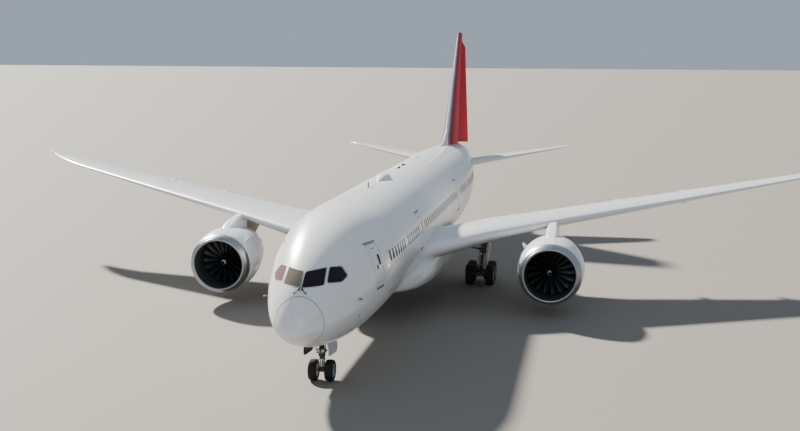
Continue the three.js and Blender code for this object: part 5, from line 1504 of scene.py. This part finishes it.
def wheel_parts(centre, width, radius, outward_side):
    """A tyre and its rim. The rim's dish is deeper on the outward side, with a hub cap and tie bolts."""
    rim = radius * 0.56
    half, side = width / 2, outward_side
    tyre = wheel_ring(tyre_profile(width, radius, rim), centre, 96)
    dish = [(0.66, 0.0), (0.66, 0.1), (0.62, 0.3), (0.34, 0.34), (0.3, 0.5), (0.42, 0.86), (0.8, 0.94), (0.9, 1.0)]
    back = [(-0.7, 0.0), (-0.7, 0.7), (-0.82, 0.94), (-0.9, 1.0)]
    rows = [*dish, (0.86, 1.06), (-0.86, 1.06), *back[::-1]]
    solid_rim = wheel_ring([(a * half * side, r * rim) for a, r in rows], centre, 64, joined=False)
    bolts = []
    for k in range(12):
        turn = k * 2 * math.pi / 12
        at = np.array(centre) + [0.33 * half * side, 0.66 * rim * math.cos(turn), 0.66 * rim * math.sin(turn)]
        bolts.append(bar(at, at + [0.14 * half * side, 0, 0], rim * 0.05, around=6))
    return tyre, together([solid_rim, *bolts])


def wheel_pair(name, x, s, z, reach, width, radius, body, node, pair):
    """Two wheels on an axle, riding on their body."""
    made = [wheel_parts((x + side * reach, s, z), width, radius, side) for side in (-1, 1)]
    axle = bar((x - reach, s, z), (x + reach, s, z), 0.05 if radius < 0.6 else 0.07)
    add = add_pair if pair else add_piece
    add(f"{name}_tyres", together([tyre for tyre, rim in made]), rubber, body=body, slot="tyre", replaces=[node])
    add(f"{name}_rims", together([rim for tyre, rim in made] + [axle]), rim_grey, body=body, slot="gear_metal")


# Nose gear.
# A forged steel leg hangs in its well under the cockpit, braced ahead by two struts. Its lower part turns with the
# wheels for steering, driven by two small cylinders, and a torque link holds the piston in line.
NOSE_S, NOSE_AXLE_Z, NOSE_RADIUS = 5.0, 0.508, 0.508
wheel_pair("nose_wheel", 0, NOSE_S, NOSE_AXLE_Z, 0.39, 0.4, NOSE_RADIUS, "nose_wheels", "nose_wheels", False)
s = NOSE_S
steering = [
    bar((0, s, 0.52), (0, s, 1.2), 0.075, around=40),
    bar((0, s, 1.17), (0, s, 1.29), 0.165, around=40),
    bar((0, s, 1.05), (0, s, 1.17), 0.11, around=40),
    bar((-0.155, s, NOSE_AXLE_Z), (0.155, s, NOSE_AXLE_Z), 0.095, around=32),
    bar((0, s, 0.5), (0, s, 0.68), 0.11, 0.085, around=32),
]
for x in (-0.09, 0.09):
    knee = (x / 2, s + 0.34, 0.93)
    steering.append(bar((x, s + 0.12, 1.2), knee, 0.028, around=12))
    steering.append(bar(knee, (x, s + 0.09, 0.6), 0.028, around=12))
steering.append(bar((-0.09, s + 0.34, 0.93), (0.09, s + 0.34, 0.93), 0.035, around=16))
steering.append(bar((-0.11, s + 0.1, 1.2), (0.11, s + 0.1, 1.2), 0.035, around=16))
steering.append(bar((-0.11, s + 0.09, 0.6), (0.11, s + 0.09, 0.6), 0.03, around=16))
collar = together(steering)
node = "nose_gear_steering"
add_piece("nose_steering_collar", collar, gear_metal, body="nose_steering", slot="gear_metal", replaces=[node])
add_piece("nose_piston", bar((0, s, 0.66), (0, s, 1.16), 0.081, around=48), chrome, body="nose_steering")
lamps = [bar((x, s - 0.17, 1.08), (x, s - 0.27, 1.06), 0.02, 0.055, around=28) for x in (-0.1, 0.1)]
add_piece("nose_turn_lamps", together(lamps), handle_metal, body="nose_steering")
leg = [
    bar((0, s, 1.31), (0, s, 2.44), 0.13, around=48),
    bar((0, s, 1.31), (0, s, 1.42), 0.155, around=48),
    bar((0, s, 1.85), (0, s, 1.95), 0.15, around=48),
    bar((-0.45, s, 2.2), (0.45, s, 2.2), 0.065, around=28),
    bar((0, s, 1.6), (0.2, s - 1.0, 2.36), 0.045, around=20),
    bar((0, s, 1.6), (-0.2, s - 1.0, 2.36), 0.045, around=20),
    bar((-0.13, s - 0.56, 1.98), (0.13, s - 0.56, 1.98), 0.03, around=16),
    bar((0, s, 1.9), (0.3, s + 0.5, 2.3), 0.03, around=16),
    bar((0, s, 1.9), (-0.3, s + 0.5, 2.3), 0.03, around=16),
]
add_piece("nose_leg", together(leg), gear_paint, slot="gear_paint", replaces=["nose_gear_leg"])
actuators = []
for side in (-1, 1):
    actuators.append(bar((side * 0.17, s - 0.16, 1.4), (side * 0.17, s + 0.2, 1.4), 0.045, around=24))
    actuators.append(bar((side * 0.17, s - 0.2, 1.36), (side * 0.17, s - 0.14, 1.44), 0.05, around=16))
actuators.append(box((-0.16, s - 0.24, 1.5), (0.16, s - 0.12, 1.56)))
actuators.append(box((-0.06, s - 0.22, 1.62), (0.06, s - 0.12, 1.86)))
add_piece("nose_steering_cylinders", together(actuators), brake_dark)
lamps = []
lenses = []
for x in (-0.11, 0.11):
    bowl = [(x, s - ahead_of, 1.48) for ahead_of in (0.1, 0.19, 0.24, 0.27)]
    lamps.append(tube(bowl, [0.03, 0.06, 0.085, 0.088], 32))
    lenses.append(bar((x, s - 0.272, 1.48), (x, s - 0.28, 1.48), 0.078, 0.06, around=32))
add_piece("nose_taxi_lamps", together(lamps), rim_grey)
lens_clear = coated("lamp_lens", (0.7, 0.72, 0.74), gloss=0.05, dust_amount=0.02, coat=1.0)
add_piece("nose_lamp_lenses", together(lenses), lens_clear)
hoses = []
for side in (-1, 1):
    back = [(side * 0.05, s + 0.12, 2.3), (side * 0.13, s + 0.16, 1.8), (side * 0.1, s + 0.2, 1.35)]
    front = [(side * 0.15, s - 0.1, 1.4), (side * 0.22, s - 0.16, 1.6)]
    front += [(side * 0.16, s - 0.05, 2.0), (side * 0.1, s, 2.35)]
    outer = [(side * 0.2, s - 0.1, 1.42), (side * 0.34, s - 0.05, 1.6)]
    outer += [(side * 0.3, s + 0.1, 1.95), (side * 0.3, s, 2.2)]
    hoses += [tube(curve_through(path), 0.016) for path in (back, front, outer)]
add_piece("nose_hoses", together(hoses), hose_black)

# Nose gear doors.
# Two long doors hang open beside the leg, each on two arms: white outside, and coloured dark inside as painted shade
# under the belly. They are bowed a little outwards, and their lower edges are rounded at both ends.
DOOR_S0, DOOR_S1 = 3.8, 5.65
DOOR_FEET = (1.44, 1.28)
# Near black for the doors' inner faces: painted shade under the belly.
door_primer = coated("door_primer", (0.06, 0.062, 0.06), gloss=0.6, coat=0.0)


def plate_ring(x, s, z, thickness):
    """A ring round a thin upright plate at a station: along its inner face and back along its outer one."""
    return [(v, s, w) for v, w in zip(x, z)] + [(v + thickness, s, w) for v, w in zip(x[::-1], z[::-1])]


for side, hand in SIDES:
    rows = []
    for t in np.linspace(0, 1, 28):
        at = DOOR_S0 + (DOOR_S1 - DOOR_S0) * t
        half, top, bottom, middle = body_section(at)
        head = middle - (middle - bottom) * math.sqrt(1 - (WELL_HALF / half) ** 2) - 0.015
        foot = DOOR_FEET[0] + (DOOR_FEET[1] - DOOR_FEET[0]) * t + 0.1 * abs(2 * t - 1) ** 8
        z = np.linspace(head, foot, 10)
        x = 0.505 + 0.06 * (head - z) / (head - foot) + 0.03 * np.sin(np.pi * (head - z) / (head - foot))
        rows.append(plate_ring(x, at, z, 0.03))
    mesh = mesh_from("door", for_side(closed(rows), side))
    normals = np.zeros(len(mesh.polygons) * 3)
    mesh.polygons.foreach_get("normal", normals)
    mark_faces(mesh, normals.reshape(-1, 3)[:, 0] * side < -0.5)
    node = f"nose_gear_door_{hand}"
    add_piece(f"nose_door_{hand}", mesh, [white_paint, door_primer], slot="white_paint", replaces=[node])
    arms = []
    for at in (4.15, 5.3):
        arms.append(bar((side * 0.5, at, 1.76), (side * 0.46, at, 2.14), 0.022, around=12))
        arms.append(bar((side * 0.54, at, 1.64), (side * 0.5, at, 1.78), 0.03, around=12))
        arms.append(bar((side * 0.44, at, 2.12), (side * 0.519, at, 2.12), 0.04, around=16))
    add_piece(f"nose_door_arms_{hand}", together(arms), gear_paint)

# Main gear.
# A raked leg forks over a truck beam with four braked wheels. It is braced inboard and forward by folding struts, and
# carries a narrow door on its outer side. The painted parts are coloured dark grey, as painted shade under the belly,
# and the rest is bare steel, with black hoses down the leg.
MAIN_X, MAIN_S, MAIN_AXLE_Z = 4.9, 30.83, 0.686
MAIN_RADIUS, MAIN_REACH, MAIN_WIDTH, TRUCK_REACH = 0.686, 0.66, 0.53, 0.755
KNEE_S, KNEE_Z = 30.33, 1.3
LEG_DOOR_FOOT, LEG_DOOR_HEAD, LEG_DOOR_HEIGHT = 1.55, 3.6, 2.05
for end, name in ((-1, "front"), (1, "rear")):
    body = f"main_wheels_{name}_{{hand}}"
    at = MAIN_S + end * TRUCK_REACH
    wheel_pair(f"main_{name}_wheel", MAIN_X, at, MAIN_AXLE_Z, MAIN_REACH, MAIN_WIDTH, MAIN_RADIUS, body, body, True)
top, bottom = np.array([5.25, 29.75, 4.0]), np.array([MAIN_X, MAIN_S, MAIN_AXLE_Z + 0.2])


def on_leg(share, x=0.0, s=0.0):
    """A place along the main leg, moved across and aft."""
    return bottom + (top - bottom) * share + [x, s, 0]


leg = [
    bar(on_leg(0.42), on_leg(0.86), 0.19, around=48),
    bar(on_leg(0.4), on_leg(0.46), 0.215, around=48),
    bar(on_leg(0.66), on_leg(0.7), 0.21, around=48),
    bar(on_leg(0.46), (3.2, 29.9, 2.75), 0.065, around=24),
    bar(on_leg(0.52), (5.2, 28.6, 3.75), 0.065, around=24),
    bar(on_leg(0.62, -0.1), (3.6, 29.85, 2.98), 0.03, around=16),
    bar((5.15, 30.25, 2.2), (5.46, 30.25, 2.2), 0.035, around=16),
    bar((5.15, 30.0, 3.1), (5.56, 30.0, 3.1), 0.035, around=16),
]
for x in (-0.13, 0.13):
    ankle = (MAIN_X + x * 0.7, MAIN_S - 0.12, MAIN_AXLE_Z + 0.34)
    leg.append(bar(on_leg(0.36, x * 0.7, 0.0), (MAIN_X + 0.05 + x, KNEE_S, KNEE_Z), 0.035, around=14))
    leg.append(bar((MAIN_X + x, KNEE_S, KNEE_Z), ankle, 0.035, around=14))
leg.append(bar((MAIN_X - 0.16, KNEE_S, KNEE_Z), (MAIN_X + 0.16, KNEE_S, KNEE_Z), 0.045, around=18))
add_pair("main_leg", together(leg), gear_paint, slot="gear_paint", replaces=["main_gear_leg_{hand}"])
add_pair("main_piston", bar(on_leg(0.02), on_leg(0.41), 0.115, around=48), chrome)
pivot = np.array([MAIN_X, MAIN_S, MAIN_AXLE_Z])
truck = [
    bar(pivot - [0, TRUCK_REACH + 0.16, 0], pivot + [0, TRUCK_REACH + 0.16, 0], 0.13, around=40),
    bar(pivot, pivot + [0, 0, 0.3], 0.165, 0.14, around=40),
    bar(pivot + [-0.2, 0, 0.16], pivot + [0.2, 0, 0.16], 0.08, around=28),
]
brakes = []
for end in (-1, 1):
    at = MAIN_S + end * TRUCK_REACH
    truck.append(bar((MAIN_X - 0.3, at, MAIN_AXLE_Z), (MAIN_X + 0.3, at, MAIN_AXLE_Z), 0.12, around=36))
    for side in (-1, 1):
        x = MAIN_X + side * (MAIN_REACH - MAIN_WIDTH / 2)
        brakes.append(bar((x - side * 0.1, at, MAIN_AXLE_Z), (x + side * 0.06, at, MAIN_AXLE_Z), 0.3, around=48))
        for k in range(8):
            turn = (k + 0.5) * 2 * math.pi / 8
            place = np.array([x - side * 0.1, at + 0.23 * math.cos(turn), MAIN_AXLE_Z + 0.23 * math.sin(turn)])
            brakes.append(bar(place, place - [side * 0.05, 0, 0], 0.035, around=14))
    for side in (-1, 1):
        foot = pivot + [side * 0.24, end * TRUCK_REACH, 0.2]
        truck.append(bar(foot, pivot + [side * 0.18, 0, 0.12], 0.025, around=12))
add_pair("main_truck_beam", together(truck), gear_metal, slot="gear_metal", replaces=["main_truck_{hand}"])
add_pair("main_brakes", together(brakes), brake_dark)
hoses = []
for x, s in ((0.16, -0.12), (-0.16, -0.12), (0.12, 0.16), (-0.12, 0.16)):
    path = [on_leg(0.85, x, s), on_leg(0.6, x * 1.5, s * 1.4), on_leg(0.38, x * 1.2, s * 1.3)]
    path += [on_leg(0.2, x * 1.8, s * 2.6), pivot + [x, s * 3, 0.2]]
    hoses.append(tube(curve_through(path), 0.016))
add_pair("main_hoses", together(hoses), hose_black)
rows = []
for t in np.linspace(0, 1, 20):
    at = 29.35 + 1.4 * t
    z = np.linspace(LEG_DOOR_HEAD, LEG_DOOR_FOOT + 0.12 * abs(2 * t - 1) ** 3, 12)
    bow = 0.02 * np.sin(np.pi * (z - LEG_DOOR_FOOT) / LEG_DOOR_HEIGHT)
    x = np.interp(z, [LEG_DOOR_FOOT, LEG_DOOR_HEAD], [5.385, 5.555]) + bow
    rows.append(plate_ring(x, at, z, 0.035))
door = carve(closed(rows), [wing_shape(-0.02)])
add_pair("main_leg_door", door, white_paint, slot="white_paint")
